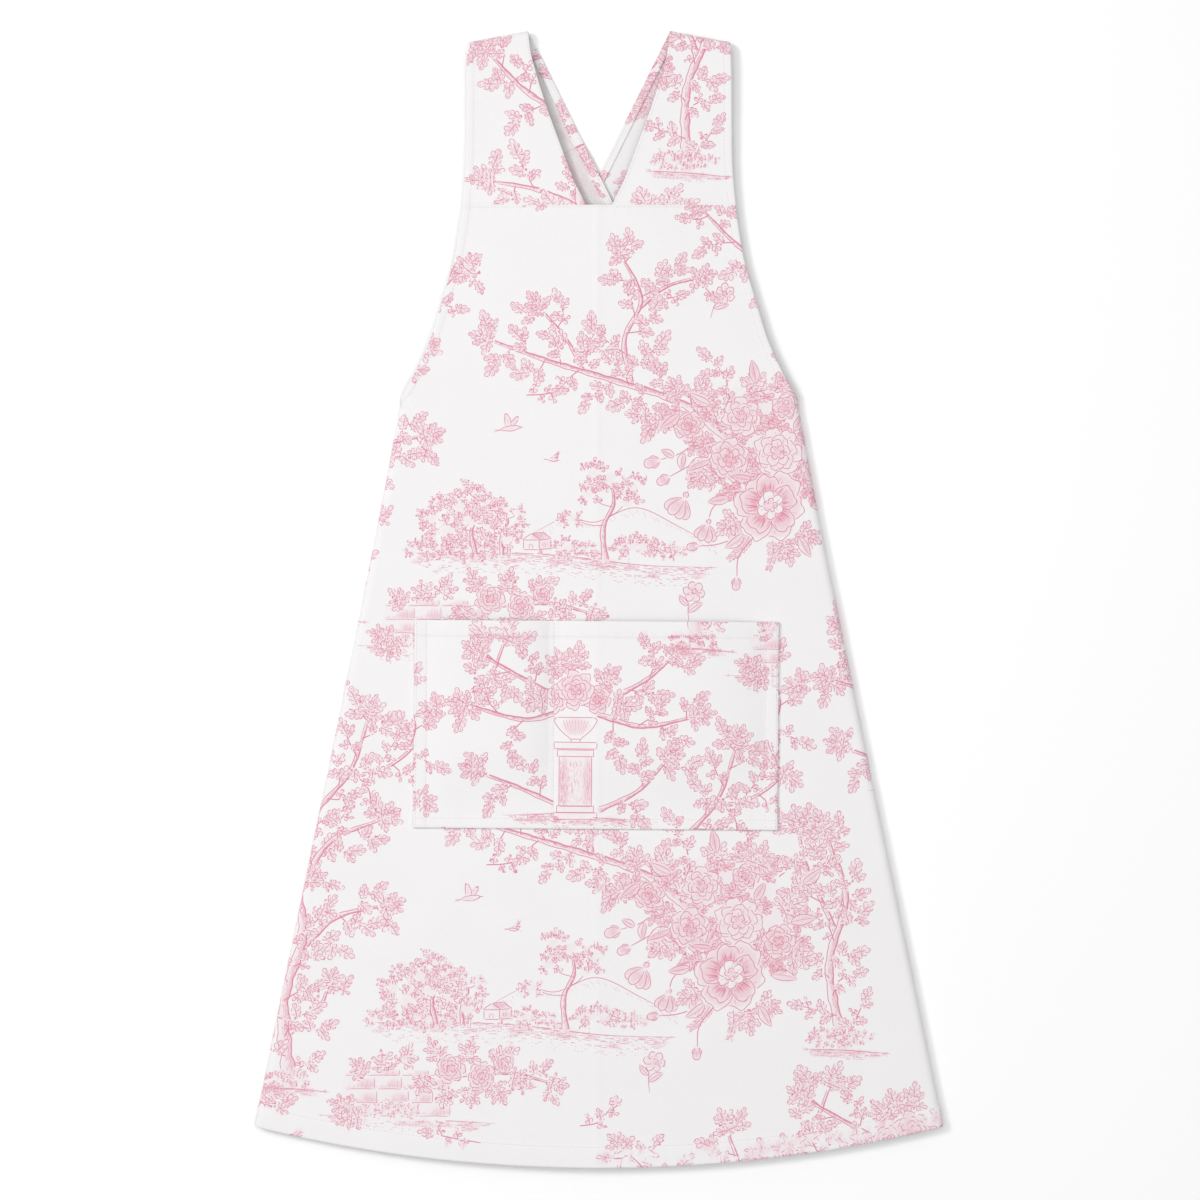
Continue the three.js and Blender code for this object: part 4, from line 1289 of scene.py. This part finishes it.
class PrintIndex:
    """All strokes of the repeat as points, found by the small square that they pass near."""

    def __init__(self, plate):
        self.plate = plate
        z, width, stroke = self.resampled(plate)
        copies = []
        for number, (row, column) in enumerate(itertools.product(COPIES, COPIES)):
            moved = z + column * REPEAT_WIDTH + row * complex(REPEAT_SHIFT, REPEAT_HEIGHT)
            inside = (moved.real > -PAD) & (moved.real < REPEAT_WIDTH + PAD)
            inside &= (moved.imag > -PAD) & (moved.imag < REPEAT_HEIGHT + PAD)
            kept = np.nonzero(inside)[0]
            copies.append((moved[kept], width[kept], stroke[kept] * len(COPIES) ** 2 + number, kept))
        self.z, self.width, self.stroke, order = (np.concatenate(parts) for parts in zip(*copies))
        self.joined = (np.diff(self.stroke) == 0) & (np.diff(order) == 1)
        self.joined = np.append(self.joined, False)
        self.index_bins()

    def resampled(self, plate):
        """The strokes' places close together, with their half widths and their numbers."""
        z, width, stroke = [], [], []
        for number, (points, half) in enumerate(plate.strokes):
            run = np.concatenate([[0], np.cumsum(np.abs(np.diff(points)))])
            at = np.linspace(0, run[-1], max(2, int(math.ceil(run[-1] / SAMPLE)) + 1))
            z.append(np.interp(at, run, points.real) + 1j * np.interp(at, run, points.imag))
            width.append(np.interp(at, run, half))
            stroke.append(np.full(len(at), number))
        return np.concatenate(z), np.concatenate(width), np.concatenate(stroke)

    def index_bins(self):
        """Notes for every small square the nearest place of each stroke in it or beside it."""
        column = np.floor((self.z.real + PAD) / BIN).astype(int)
        row = np.floor((self.z.imag + PAD) / BIN).astype(int)
        sample = np.arange(len(self.z))
        bins, samples, gaps = [], [], []
        for i, j in itertools.product(AROUND, AROUND):
            centre = (column + i + 0.5) * BIN - PAD + 1j * ((row + j + 0.5) * BIN - PAD)
            bins.append((row + j + 1) * BINS_ACROSS + column + i + 1)
            samples.append(sample)
            gaps.append(np.abs(self.z - centre))
        bins, samples, gaps = (np.concatenate(parts) for parts in (bins, samples, gaps))
        order = np.lexsort((gaps, self.stroke[samples], bins))
        bins, samples = bins[order], samples[order]
        first = np.ones(len(bins), bool)
        first[1:] = (np.diff(bins) != 0) | (np.diff(self.stroke[samples]) != 0)
        self.bins, self.nearest = bins[first], samples[first]

    def measure(self, z, seed):
        """Signed distance from a place to the stroke near a sample, and the stroke's half width there."""
        best = np.full(z.shape, np.inf)
        signed = np.full(z.shape, FAR)
        width = np.zeros(z.shape)
        for step in range(-WINDOW, WINDOW):
            at = np.clip(seed + step, 0, len(self.z) - 2)
            same = self.joined[at] & (self.stroke[at] == self.stroke[seed])
            a, b = self.z[at], self.z[at + 1]
            way = b - a
            long = np.maximum(np.abs(way), 1e-6)
            relative = (z - a) * np.conj(way) / long
            share = relative.real / long
            kept = np.clip(share, 0, 1)
            gap = np.hypot(relative.real - kept * long, relative.imag)
            better = same & (gap < best)
            starts = ~(self.joined[np.maximum(at - 1, 0)] & (at > 0))
            stops = ~self.joined[at + 1]
            past = np.where(starts, np.maximum(-share, 0), 0) + np.where(stops, np.maximum(share - 1, 0), 0)
            side = np.where(relative.imag < 0, -1.0, 1.0)
            reach = np.where(past > 0, np.abs(relative.imag), gap)
            best = np.where(better, gap, best)
            signed = np.where(better, side * reach, signed)
            half = self.width[at] * (1 - kept) + self.width[at + 1] * kept - past * long
            width = np.where(better, half, width)
        return signed, width

    def corners(self, corner_places):
        """For faces of four places in cloth millimetres: (faces, 4, SLOTS, 2) of distance and half width."""
        centre = corner_places.mean(1)
        home = into_repeat(centre)
        places = home[:, None] + corner_places - centre[:, None]
        face_bin = (np.floor((home.imag + PAD) / BIN).astype(int) + 1) * BINS_ACROSS
        face_bin += np.floor((home.real + PAD) / BIN).astype(int) + 1
        start = np.searchsorted(self.bins, face_bin, "left")
        count = np.searchsorted(self.bins, face_bin, "right") - start
        face = np.repeat(np.arange(len(home)), count)
        within = np.arange(len(face)) - np.repeat(np.cumsum(count) - count, count)
        seed = self.nearest[np.repeat(start, count) + within]
        distance, width = self.measure(home[face], seed)
        reach = np.abs(places - home[:, None]).max(1)
        near = np.abs(distance) < reach[face] + np.maximum(width, 0) + INK_MARGIN
        face, seed, gap = face[near], seed[near], (np.abs(distance) - width)[near]
        order = np.lexsort((gap, face))
        face, seed = face[order], seed[order]
        group = np.concatenate([[0], np.nonzero(np.diff(face))[0] + 1]) if len(face) else np.zeros(0, int)
        rank = np.arange(len(face)) - np.repeat(group, np.diff(np.append(group, len(face))))
        kept = rank < SLOTS
        face, seed, rank = face[kept], seed[kept], rank[kept]
        result = np.zeros((len(home), 4, SLOTS, 2), np.float32)
        result[..., 0] = FAR
        for corner in range(4):
            signed, half = self.measure(places[face, corner], seed)
            result[face, corner, rank, 0] = signed
            result[face, corner, rank, 1] = half
        return result


REPEAT_CACHE = []


def printed_repeat():
    """The repeat, drawn once for all the pieces."""
    if not REPEAT_CACHE:
        REPEAT_CACHE.append(PrintIndex(draw_repeat()))
    return REPEAT_CACHE[0]


def print_on(mesh, runs, index, flat, shift):
    """Prints runs of faces: each is (first loop, faces), placed on the repeat by shift(flat)."""
    loops = len(mesh.loops)
    layers = np.tile(np.array([FAR, 0, FAR, 0], np.float32), (len(PRINT_LAYERS), loops, 1))
    for first_loop, faces in runs:
        places = flat[faces]
        z = shift(places[..., 0] + 1j * places[..., 1])
        values = index.corners(z)
        span = slice(first_loop, first_loop + 4 * len(faces))
        for k in range(len(PRINT_LAYERS)):
            layers[k, span] = values[:, :, 2 * k : 2 * k + 2, :].reshape(-1, 4)
    for k, name in enumerate(PRINT_LAYERS):
        attribute = mesh.attributes.new(name, "FLOAT_COLOR", "CORNER")
        attribute.data.foreach_set("color", layers[k].ravel())


def tone_at(plate, z):
    """The wash at a place, averaged over a small cross."""
    return sum(plate.tone[plate.cells(z + step)] for step in CROSS) / len(CROSS)


# Sewing: one stitch is modelled, and copied along each line of stitching

STITCH_THICKNESS = 0.17
STITCH_DIP = 0.35
STITCH_LIFT = 0.12
THREAD_END = 1.5


def model_stitch():
    """The mesh of one stitch, lying along X: a short thread that dips into the cloth at both ends."""
    bpy.ops.object.select_all(action="DESELECT")
    bpy.ops.mesh.primitive_uv_sphere_add(segments=6, ring_count=5, radius=0.5)
    stitch = bpy.context.object
    bpy.ops.object.mode_set(mode="EDIT")
    bpy.ops.mesh.select_all(action="SELECT")
    bpy.ops.transform.rotate(value=math.pi / 2, orient_axis="Y", center_override=(0, 0, 0))
    bpy.ops.transform.resize(value=(1, STITCH_THICKNESS, STITCH_THICKNESS), center_override=(0, 0, 0))
    bpy.ops.object.mode_set(mode="OBJECT")
    points = np.array([v.co for v in stitch.data.vertices])
    points[:, 2] -= STITCH_DIP * points[:, 0] ** 2
    faces = [list(polygon.vertices) for polygon in stitch.data.polygons]
    mesh = stitch.data
    bpy.data.objects.remove(stitch)
    bpy.data.meshes.remove(mesh)
    return points, faces


def stitch_line(path, out, stitch):
    """Stitches of the chosen length along a line of points, lying on the cloth."""
    sewing = bpy.context.scene.apron_sewing
    pitch = sewing.stitch_pitch / MM
    length = sewing.stitch_length / MM
    run = np.concatenate([[0], np.cumsum(np.linalg.norm(np.diff(path, axis=0), axis=1))])
    count = int((run[-1] - THREAD_END) / pitch)
    centres = (run[-1] - (count - 1) * pitch) / 2 + pitch * np.arange(count)

    def at(distance, values=path):
        """Values along the path at distances from its start."""
        return np.stack([np.interp(distance, run, values[:, k]) for k in range(3)], -1)

    way = at(centres + length / 2) - at(centres - length / 2)
    way = way / np.linalg.norm(way, axis=1)[:, None]
    up = at(centres, out)
    up = up / np.linalg.norm(up, axis=1)[:, None]
    side = np.cross(up, way)
    along, across, height = (stitch * length).T[:, None, :, None]
    placed = at(centres)[:, None, :] + along * way[:, None, :]
    return placed + across * side[:, None, :] + (height + STITCH_LIFT) * up[:, None, :]


def sew(name, lines):
    """One object of all the stitches along several lines."""
    stitch, template = model_stitch()
    points, faces = [], []
    for path, out in lines:
        for one in stitch_line(path, out, stitch):
            faces += [[len(points) + v for v in face] for face in template]
            points += one.tolist()
    points = np.array(points)
    points[:, 2] = np.maximum(points[:, 2], 0)
    mesh = bpy.data.meshes.new(name)
    mesh.from_pydata((points * MM).tolist(), [], faces)
    mesh.update()
    mesh.shade_smooth()
    add_piece(name, mesh, thread_material())


def line_at(grid, row=None, column=None, inside=False, span=None):
    """A row or a column of a grid, as a path for stitching."""
    points = grid.inside() if inside else grid.points
    out = -grid.out if inside else grid.out
    chosen = slice(*span) if span else slice(None)
    if row is not None:
        return points[row, chosen], out[row, chosen]
    return points[chosen, column], out[chosen, column]


def line_index(band, line=None):
    """Which of an edge's steps is the line of stitching."""
    line = band - STITCH_IN if line is None else line
    return int(np.argmin(np.abs(edge_steps(band) - line)))


def add_piece(name, mesh, material):
    """Puts a mesh into the scene as one piece of the apron."""
    piece = bpy.data.objects.new(name, mesh)
    bpy.context.scene.collection.objects.link(piece)
    mesh.materials.append(material)
    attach(piece, BODY)
    return piece


# Materials

YARNS_PER_METRE = 2200.0
UNEVENNESS = 0.5
SLUB_SCALE = 420.0
PATCH_SCALE = 24.0
WEAVE_HEIGHT = 0.5
SLUB_SHARE = 0.6
INK_SOFTNESS = 0.16
INK_COVER = 0.9
WRONG_SIDE_LOSS = -0.78
GROUND_TINTS = (0.09, 0.955)
ROUGHNESSES = (0.12, 0.82)
THREAD_GROOVE_SHADE = 0.86


class NodeBench:
    """Adds nodes and links to a node tree with few words."""

    def __init__(self, tree):
        self.tree = tree

    def feed(self, node, inputs):
        """Sets a node's inputs, and links those whose value is an output of another node."""
        for key, value in inputs.items():
            if isinstance(value, bpy.types.NodeSocket):
                self.tree.links.new(value, node.inputs[key])
            else:
                node.inputs[key].default_value = value
        return node

    def add(self, kind, inputs=None, **settings):
        """A new node with its settings and inputs."""
        node = self.tree.nodes.new(kind)
        for key, value in settings.items():
            setattr(node, key, value)
        return self.feed(node, inputs or {})

    def attribute(self, name):
        """A node that reads an attribute of the mesh."""
        return self.add("ShaderNodeAttribute", attribute_name=name)

    def math(self, operation, *values, clamp=False):
        """The result of a calculation with one to three values."""
        node = self.add("ShaderNodeMath", dict(enumerate(values)), operation=operation, use_clamp=clamp)
        return node.outputs[0]

    def scaled(self, vector, factor):
        """A vector or colour times a factor."""
        node = self.add("ShaderNodeVectorMath", {0: vector, "Scale": factor}, operation="SCALE")
        return node.outputs[0]

    def blend(self, share, first, second):
        """One colour that turns into another by a share."""
        node = self.add("ShaderNodeMix", {0: share, 6: first, 7: second}, data_type="RGBA")
        return node.outputs[2]


def new_group(name, inputs, outputs):
    """A node group with named inputs and outputs: the group, its bench and its two end nodes."""
    tree = bpy.data.node_groups.new(name, "ShaderNodeTree")
    for label, kind, default in inputs:
        socket = tree.interface.new_socket(label, in_out="INPUT", socket_type=kind)
        socket.default_value = default
    for label, kind in outputs:
        tree.interface.new_socket(label, in_out="OUTPUT", socket_type=kind)
    return tree, NodeBench(tree), tree.nodes.new("NodeGroupInput"), tree.nodes.new("NodeGroupOutput")


def woven_group():
    """Plain weave: two crossing sets of yarns, with thicker and thinner places."""
    if "Woven Cotton" in bpy.data.node_groups:
        return bpy.data.node_groups["Woven Cotton"]
    inputs = [
        ("Yarns per Metre", "NodeSocketFloat", YARNS_PER_METRE),
        ("Unevenness", "NodeSocketFloat", UNEVENNESS),
    ]
    outputs = [("Height", "NodeSocketFloat"), ("Tint", "NodeSocketFloat")]
    tree, bench, given, result = new_group("Woven Cotton", inputs, outputs)
    flat = bench.attribute("flat").outputs["Vector"]
    parts = bench.add("ShaderNodeSeparateXYZ", {0: bench.scaled(flat, given.outputs[0])})
    warp, weft = (bench.math("SINE", bench.math("MULTIPLY", parts.outputs[k], math.pi)) for k in (0, 1))
    weave = bench.math("MULTIPLY", bench.math("MULTIPLY", warp, weft), WEAVE_HEIGHT)
    slub, patch = (
        bench.add("ShaderNodeTexNoise", {"Vector": flat, "Scale": scale, "Detail": detail}).outputs["Fac"]
        for scale, detail in ((SLUB_SCALE, 4.0), (PATCH_SCALE, 3.0))
    )
    patches = bench.math("MULTIPLY", patch, 1 - SLUB_SHARE)
    bench.feed(result, {
        "Height": bench.math("ADD", weave, bench.math("MULTIPLY", slub, given.outputs[1])),
        "Tint": bench.math("MULTIPLY_ADD", slub, SLUB_SHARE, patches),
    })
    return tree


def toile_group():
    """The printed ink: how much of a line covers a place, and how much of the pale wash."""
    if "Toile Print" in bpy.data.node_groups:
        return bpy.data.node_groups["Toile Print"]
    inputs = [("Softness", "NodeSocketFloat", INK_SOFTNESS)]
    outputs = [("Line", "NodeSocketFloat"), ("Wash", "NodeSocketFloat")]
    tree, bench, given, result = new_group("Toile Print", inputs, outputs)
    strongest = None
    for name in PRINT_LAYERS:
        layer = bench.attribute(name)
        split = bench.add("ShaderNodeSeparateColor", {0: layer.outputs["Color"]})
        pairs = (
            (split.outputs[0], split.outputs[1]),
            (split.outputs[2], layer.outputs["Alpha"]),
        )
        for distance, half_width in pairs:
            inside = bench.math("SUBTRACT", half_width, bench.math("ABSOLUTE", distance))
            strongest = inside if strongest is None else bench.math("MAXIMUM", strongest, inside)
    low = bench.math("MULTIPLY", given.outputs["Softness"], -1.0)
    line = bench.add("ShaderNodeMapRange", {0: strongest, 1: low, 2: given.outputs["Softness"]})
    line.interpolation_type = "SMOOTHSTEP"
    bench.feed(result, {"Line": line.outputs[0], "Wash": bench.attribute("wash").outputs["Fac"]})
    return tree


def new_material(name):
    """A material, the bench of its nodes and its shader."""
    material = bpy.data.materials.new(name)
    material.use_nodes = True
    return material, NodeBench(material.node_tree), material.node_tree.nodes["Principled BSDF"]


def cotton_material():
    """The printed cotton, with its wrong side where the attribute says so: the print paler there, and the
    ground a darker grey of painted shade.
    """
    if "Printed Cotton" in bpy.data.materials:
        return bpy.data.materials["Printed Cotton"]
    colours = bpy.context.scene.apron_colours
    material, bench, shader = new_material("Printed Cotton")
    weave = bench.add("ShaderNodeGroup", node_tree=woven_group()).outputs
    toile = bench.add("ShaderNodeGroup", node_tree=toile_group()).outputs
    # Where the wrong side shows, the print fades and the ground turns a darker grey, which is painted shade
    wrong_and_shade = bench.attribute("wrong_side_and_shade").outputs["Fac"]
    through = bench.math("MULTIPLY_ADD", wrong_and_shade, WRONG_SIDE_LOSS, 1.0)
    washed = bench.math("MULTIPLY", toile["Wash"], through, clamp=True)
    inked = bench.math("MULTIPLY", bench.math("MULTIPLY", toile["Line"], through), INK_COVER)
    ground = bench.blend(wrong_and_shade, (*colours.cotton, 1), (*colours.wrong_side_and_shade, 1))
    shaded = bench.scaled(ground, bench.math("MULTIPLY_ADD", weave["Tint"], *GROUND_TINTS))
    pale = bench.blend(washed, shaded, (*colours.wash, 1))
    relief = {"Strength": 0.25, "Distance": 0.0002, "Height": weave["Height"]}
    bench.feed(shader, {
        "Base Color": bench.blend(inked, pale, (*colours.ink, 1)),
        "Roughness": bench.math("MULTIPLY_ADD", weave["Tint"], *ROUGHNESSES),
        "Normal": bench.add("ShaderNodeBump", relief).outputs[0],
        "Sheen Weight": 0.12,
        "Sheen Roughness": 0.5,
        "Specular IOR Level": 0.18,
    })
    return material


def thread_material():
    """Sewing thread, twisted, in the colour of the print, with painted shade darkening the low grooves of its
    twist.
    """
    if "Sewing Thread" in bpy.data.materials:
        return bpy.data.materials["Sewing Thread"]
    thread = bpy.context.scene.apron_colours.thread
    material, bench, shader = new_material("Sewing Thread")
    place = bench.add("ShaderNodeTexCoord").outputs["Object"]
    wave = {"Vector": place, "Scale": 900.0, "Distortion": 1.5}
    twist = bench.add("ShaderNodeTexWave", wave).outputs["Fac"]
    # Painted shade: the thread is darker where the twist's bump is low
    groove_shaded = tuple(c * THREAD_GROOVE_SHADE for c in thread)
    relief = {"Strength": 0.3, "Distance": 0.0001, "Height": twist}
    bench.feed(shader, {
        "Base Color": bench.blend(twist, (*groove_shaded, 1), (*thread, 1)),
        "Normal": bench.add("ShaderNodeBump", relief).outputs[0],
        "Sheen Weight": 0.15,
        "Roughness": 0.7,
    })
    return material


def finish_cloth(name, grid, nodes, shift, wrong_band=0.0, blank_and_shade=1.0):
    """Makes one piece of cloth of a grid, prints it, and puts it in its node's place.

    Without a wrong_band the whole inside face is unprinted, and with one only that much of its middle. The
    last argument is the share by which the wrong side fades the print and greys the ground with painted
    shade.
    """
    mesh, first, second, kept = cloth_mesh(name, grid)
    rows, columns = grid.points.shape[:2]
    flat = np.zeros((len(mesh.vertices), 3))
    flat[: rows * columns, :2] = grid.flat.reshape(-1, 2)
    flat[rows * columns :, :2] = grid.flat[np.ix_(*kept)].reshape(-1, 2)
    index = printed_repeat()
    runs = [(0, first)]
    second_loop = 4 * len(first)
    wrong_and_shade = np.zeros(len(mesh.loops), np.float32)
    is_wrong = np.ones(len(second), bool)
    if wrong_band:
        is_wrong = np.abs(flat[second][..., 0].mean(1)) < wrong_band
        runs.append((second_loop, second))
    # The share fades the print and paints shade as a grey ground on the wrong side
    wrong_and_shade[second_loop : second_loop + 4 * len(second)] = blank_and_shade * np.repeat(is_wrong, 4)
    print_on(mesh, runs, index, flat, shift)
    tone = tone_at(index.plate, shift(flat[:, 0] + 1j * flat[:, 1])).astype(np.float32)
    mesh.attributes.new("wash", "FLOAT", "POINT").data.foreach_set("value", tone)
    mesh.attributes.new("wrong_side_and_shade", "FLOAT", "CORNER").data.foreach_set("value", wrong_and_shade)
    metres = (flat * MM).astype(np.float32)
    mesh.attributes.new("flat", "FLOAT_VECTOR", "POINT").data.foreach_set("vector", metres.ravel())
    piece = add_piece(name, mesh, cotton_material())
    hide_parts(*nodes)
    return piece


# Settings that a user would change


class ApronColours(bpy.types.PropertyGroup):
    """Colours of the cloth, the print and the thread."""

    cotton: FloatVectorProperty(
        name="Cotton", description="The cotton's ground colour", subtype="COLOR", size=3, min=0, max=1,
        default=(0.822, 0.808, 0.818),
    )
    # Darker than the cotton: the unprinted side with painted shade in its grey
    wrong_side_and_shade: FloatVectorProperty(
        name="Wrong Side", description="The unprinted side of the cotton", subtype="COLOR", size=3,
        min=0, max=1, default=(0.72, 0.70, 0.70),
    )
    ink: FloatVectorProperty(
        name="Ink", description="Lines of the print", subtype="COLOR", size=3, min=0, max=1,
        default=(0.66, 0.20, 0.305),
    )
    wash: FloatVectorProperty(
        name="Wash", description="Pale fill of leaves and petals", subtype="COLOR", size=3, min=0, max=1,
        default=(0.765, 0.375, 0.465),
    )
    thread: FloatVectorProperty(
        name="Thread", description="Sewing thread", subtype="COLOR", size=3, min=0, max=1,
        default=(0.80, 0.64, 0.67),
    )


class ApronSewing(bpy.types.PropertyGroup):
    """Sizes of the stitching and fineness of the cloth."""

    stitch_length: FloatProperty(
        name="Stitch Length", description="Length of one stitch as it shows", default=0.0021, min=0.001,
        subtype="DISTANCE", unit="LENGTH",
    )
    stitch_pitch: FloatProperty(
        name="Stitch Pitch", description="Distance from one stitch to the next", default=0.0030, min=0.0015,
        subtype="DISTANCE", unit="LENGTH",
    )
    front_columns: IntProperty(
        name="Front Columns", description="Columns across the front between its turned edges",
        default=206, min=20,
    )
    front_rows: IntProperty(name="Front Rows", description="Rows down the skirt", default=286, min=20)


class APRON_OT_front(bpy.types.Operator):
    """Sews the bib and skirt, with their turned edges"""

    bl_idname = "apron.front"
    bl_label = "Front Panel"

    def execute(self, context):
        sewing = context.scene.apron_sewing
        grid = front_grid(sewing.front_columns, sewing.front_rows, BIB_ROWS)
        piece = finish_cloth("apron_front", grid, ["front_panel"], lambda z: z + FRONT_PRINT)
        hem = line_index(HEM_BAND)
        side = line_index(SIDE_BAND)
        top = -1 - line_index(SEAM_BAND, TOPSTITCH)
        armhole_rows = np.nonzero(grid.points[:, side, 1] > ARMHOLE_END_Y)[0]
        span = (int(armhole_rows[0]), grid.points.shape[0])
        lines = [line_at(grid, row=hem), line_at(grid, row=top)]
        lines += [line_at(grid, column=c, span=span) for c in (side, -1 - side)]
        sew("front_stitching", lines)
        return {"FINISHED"}


class APRON_OT_backs(bpy.types.Operator):
    """Sews both back panels, open at the centre back"""

    bl_idname = "apron.backs"
    bl_label = "Back Panels"

    def execute(self, context):
        grid = back_grid(BACK_COLUMNS, BACK_ROWS)
        lines = []
        for name, side in (("back_panel_left", grid.mirrored()), ("back_panel_right", grid)):
            shift = BACK_PRINT[name]
            piece = finish_cloth(name.replace("back_panel", "apron_back"), side, [name], lambda z: z + shift)
            for inside in (False, True):
                lines.append(line_at(side, column=line_index(BACK_BAND), inside=inside))
                lines.append(line_at(side, row=line_index(HEM_BAND), inside=inside))
                lines.append(line_at(side, row=-1 - line_index(SEAM_BAND), inside=inside))
        sew("back_stitching", lines)
        return {"FINISHED"}


class APRON_OT_straps(bpy.types.Operator):
    """Sews both straps, from the bib over the shoulder to the far back panel"""

    bl_idname = "apron.straps"
    bl_label = "Straps"

    def execute(self, context):
        lines = []
        for name, on_top, flip in (("strap_left", True, False), ("strap_right", False, True)):
            grid = strap_grid(on_top, STRAP_STEP)
            grid = grid.mirrored() if flip else grid
            shift = STRAP_PRINT[name]
            # The left strap's wrong side gets all of the grey painted shade, the right's only a quarter
            title, blank_and_shade = name.replace("strap", "apron_strap"), STRAP_BLANK_AND_SHADE[name]
            piece = finish_cloth(title, grid, [name], lambda z: z + shift, STRAP_FACING, blank_and_shade)
            for column in (line_index(STRAP_BAND), -1 - line_index(STRAP_BAND, TOPSTITCH)):
                for inside in (False, True):
                    lines.append(line_at(grid, column=column, inside=inside))
        sew("strap_stitching", lines)
        return {"FINISHED"}


class APRON_OT_pocket(bpy.types.Operator):
    """Sews the patch pocket and its divider onto the skirt"""

    bl_idname = "apron.pocket"
    bl_label = "Pocket"

    def execute(self, context):
        grid = pocket_grid(POCKET_STEP)
        piece = finish_cloth("apron_pocket", grid, ["pocket"], pocket_print)
        side, low = line_index(POCKET_SIDE_BAND), line_index(POCKET_BOTTOM_BAND)
        top = -1 - line_index(POCKET_HEM)
        middle = int(np.argmin(np.abs(grid.flat[0, :, 0] - (POCKET_DIVIDER_X - POCKET_CENTRE_X))))
        lines = [line_at(grid, row=low), line_at(grid, row=top), line_at(grid, column=middle)]
        for column in (side, POCKET_EDGE_COLUMN):
            lines += [line_at(grid, column=c) for c in (column, -1 - column)]
        sew("pocket_stitching", lines)
        return {"FINISHED"}


# The stage

FLOOR_SIZE = 40
FLOOR_Z = -0.0004
FLOOR_COLOUR = (0.95, 0.95, 0.95, 1)
SURROUND = 0.445
SOFTBOXES = (
    ("overhead_softbox", (-0.15, 0.15, 3.5), 3.2, 62),
    ("key_softbox", (-2.1, 1.0, 3.0), 0.9, 46),
)
CAMERA_PLACE = (0.0008, -0.001, 3.0)
SENSOR = 36
SEEN_WIDTH = 1.002
SEEN_Z = 0.012


class APRON_OT_stage(bpy.types.Operator):
    """Lays a plain pale floor and sets the lights and the camera straight above"""

    bl_idname = "apron.stage"
    bl_label = "Stage"

    def execute(self, context):
        scene = context.scene
        scene.view_settings.view_transform = "Standard"
        bpy.ops.object.select_all(action="DESELECT")
        bpy.ops.mesh.primitive_plane_add(size=FLOOR_SIZE, location=(0, 0, FLOOR_Z))
        floor = context.object
        floor.name = "floor"
        material, bench, shader = new_material("Pale Floor")
        bench.feed(shader, {"Base Color": FLOOR_COLOUR, "Roughness": 0.95})
        floor.data.materials.append(material)
        world = bpy.data.worlds.new("Soft White")
        world.use_nodes = True
        background = world.node_tree.nodes["Background"]
        NodeBench(world.node_tree).feed(background, {"Color": (1, 1, 1, 1), "Strength": SURROUND})
        scene.world = world
        for name, place, size, power in SOFTBOXES:
            bpy.ops.object.light_add(type="AREA", location=place)
            lamp = context.object
            lamp.name = name
            lamp.data.shape = "SQUARE"
            lamp.data.size = size
            lamp.data.energy = power
            lamp.rotation_euler = (-lamp.location).to_track_quat("-Z", "Y").to_euler()
        bpy.ops.object.camera_add(location=CAMERA_PLACE, rotation=(0, 0, 0))
        camera = context.object
        camera.data.sensor_width = SENSOR
        camera.data.lens = SENSOR * (CAMERA_PLACE[2] - SEEN_Z) / SEEN_WIDTH
        scene.camera = camera
        return {"FINISHED"}


class APRON_PT_panel(bpy.types.Panel):
    """The operators that build the apron, and its settings"""

    bl_label = "Cross Back Apron"
    bl_idname = "APRON_PT_panel"
    bl_space_type = "VIEW_3D"
    bl_region_type = "UI"
    bl_category = "Apron"

    def draw(self, context):
        for operator in OPERATORS:
            self.layout.operator(operator.bl_idname)
        for settings in (context.scene.apron_colours, context.scene.apron_sewing):
            for name in settings.bl_rna.properties.keys():
                if name not in ("rna_type", "name"):
                    self.layout.prop(settings, name)


OPERATORS = (APRON_OT_backs, APRON_OT_front, APRON_OT_straps, APRON_OT_pocket, APRON_OT_stage)
CLASSES = (ApronColours, ApronSewing, *OPERATORS, APRON_PT_panel)


def register():
    for cls in CLASSES:
        bpy.utils.register_class(cls)
    bpy.types.Scene.apron_colours = PointerProperty(type=ApronColours)
    bpy.types.Scene.apron_sewing = PointerProperty(type=ApronSewing)


def unregister():
    del bpy.types.Scene.apron_colours
    del bpy.types.Scene.apron_sewing
    for cls in reversed(CLASSES):
        bpy.utils.unregister_class(cls)


def main():
    """Builds the apron and its stage."""
    register()
    bpy.ops.apron.backs()
    bpy.ops.apron.front()
    bpy.ops.apron.straps()
    bpy.ops.apron.pocket()
    bpy.ops.apron.stage()


if __name__ == "__main__":
    main()
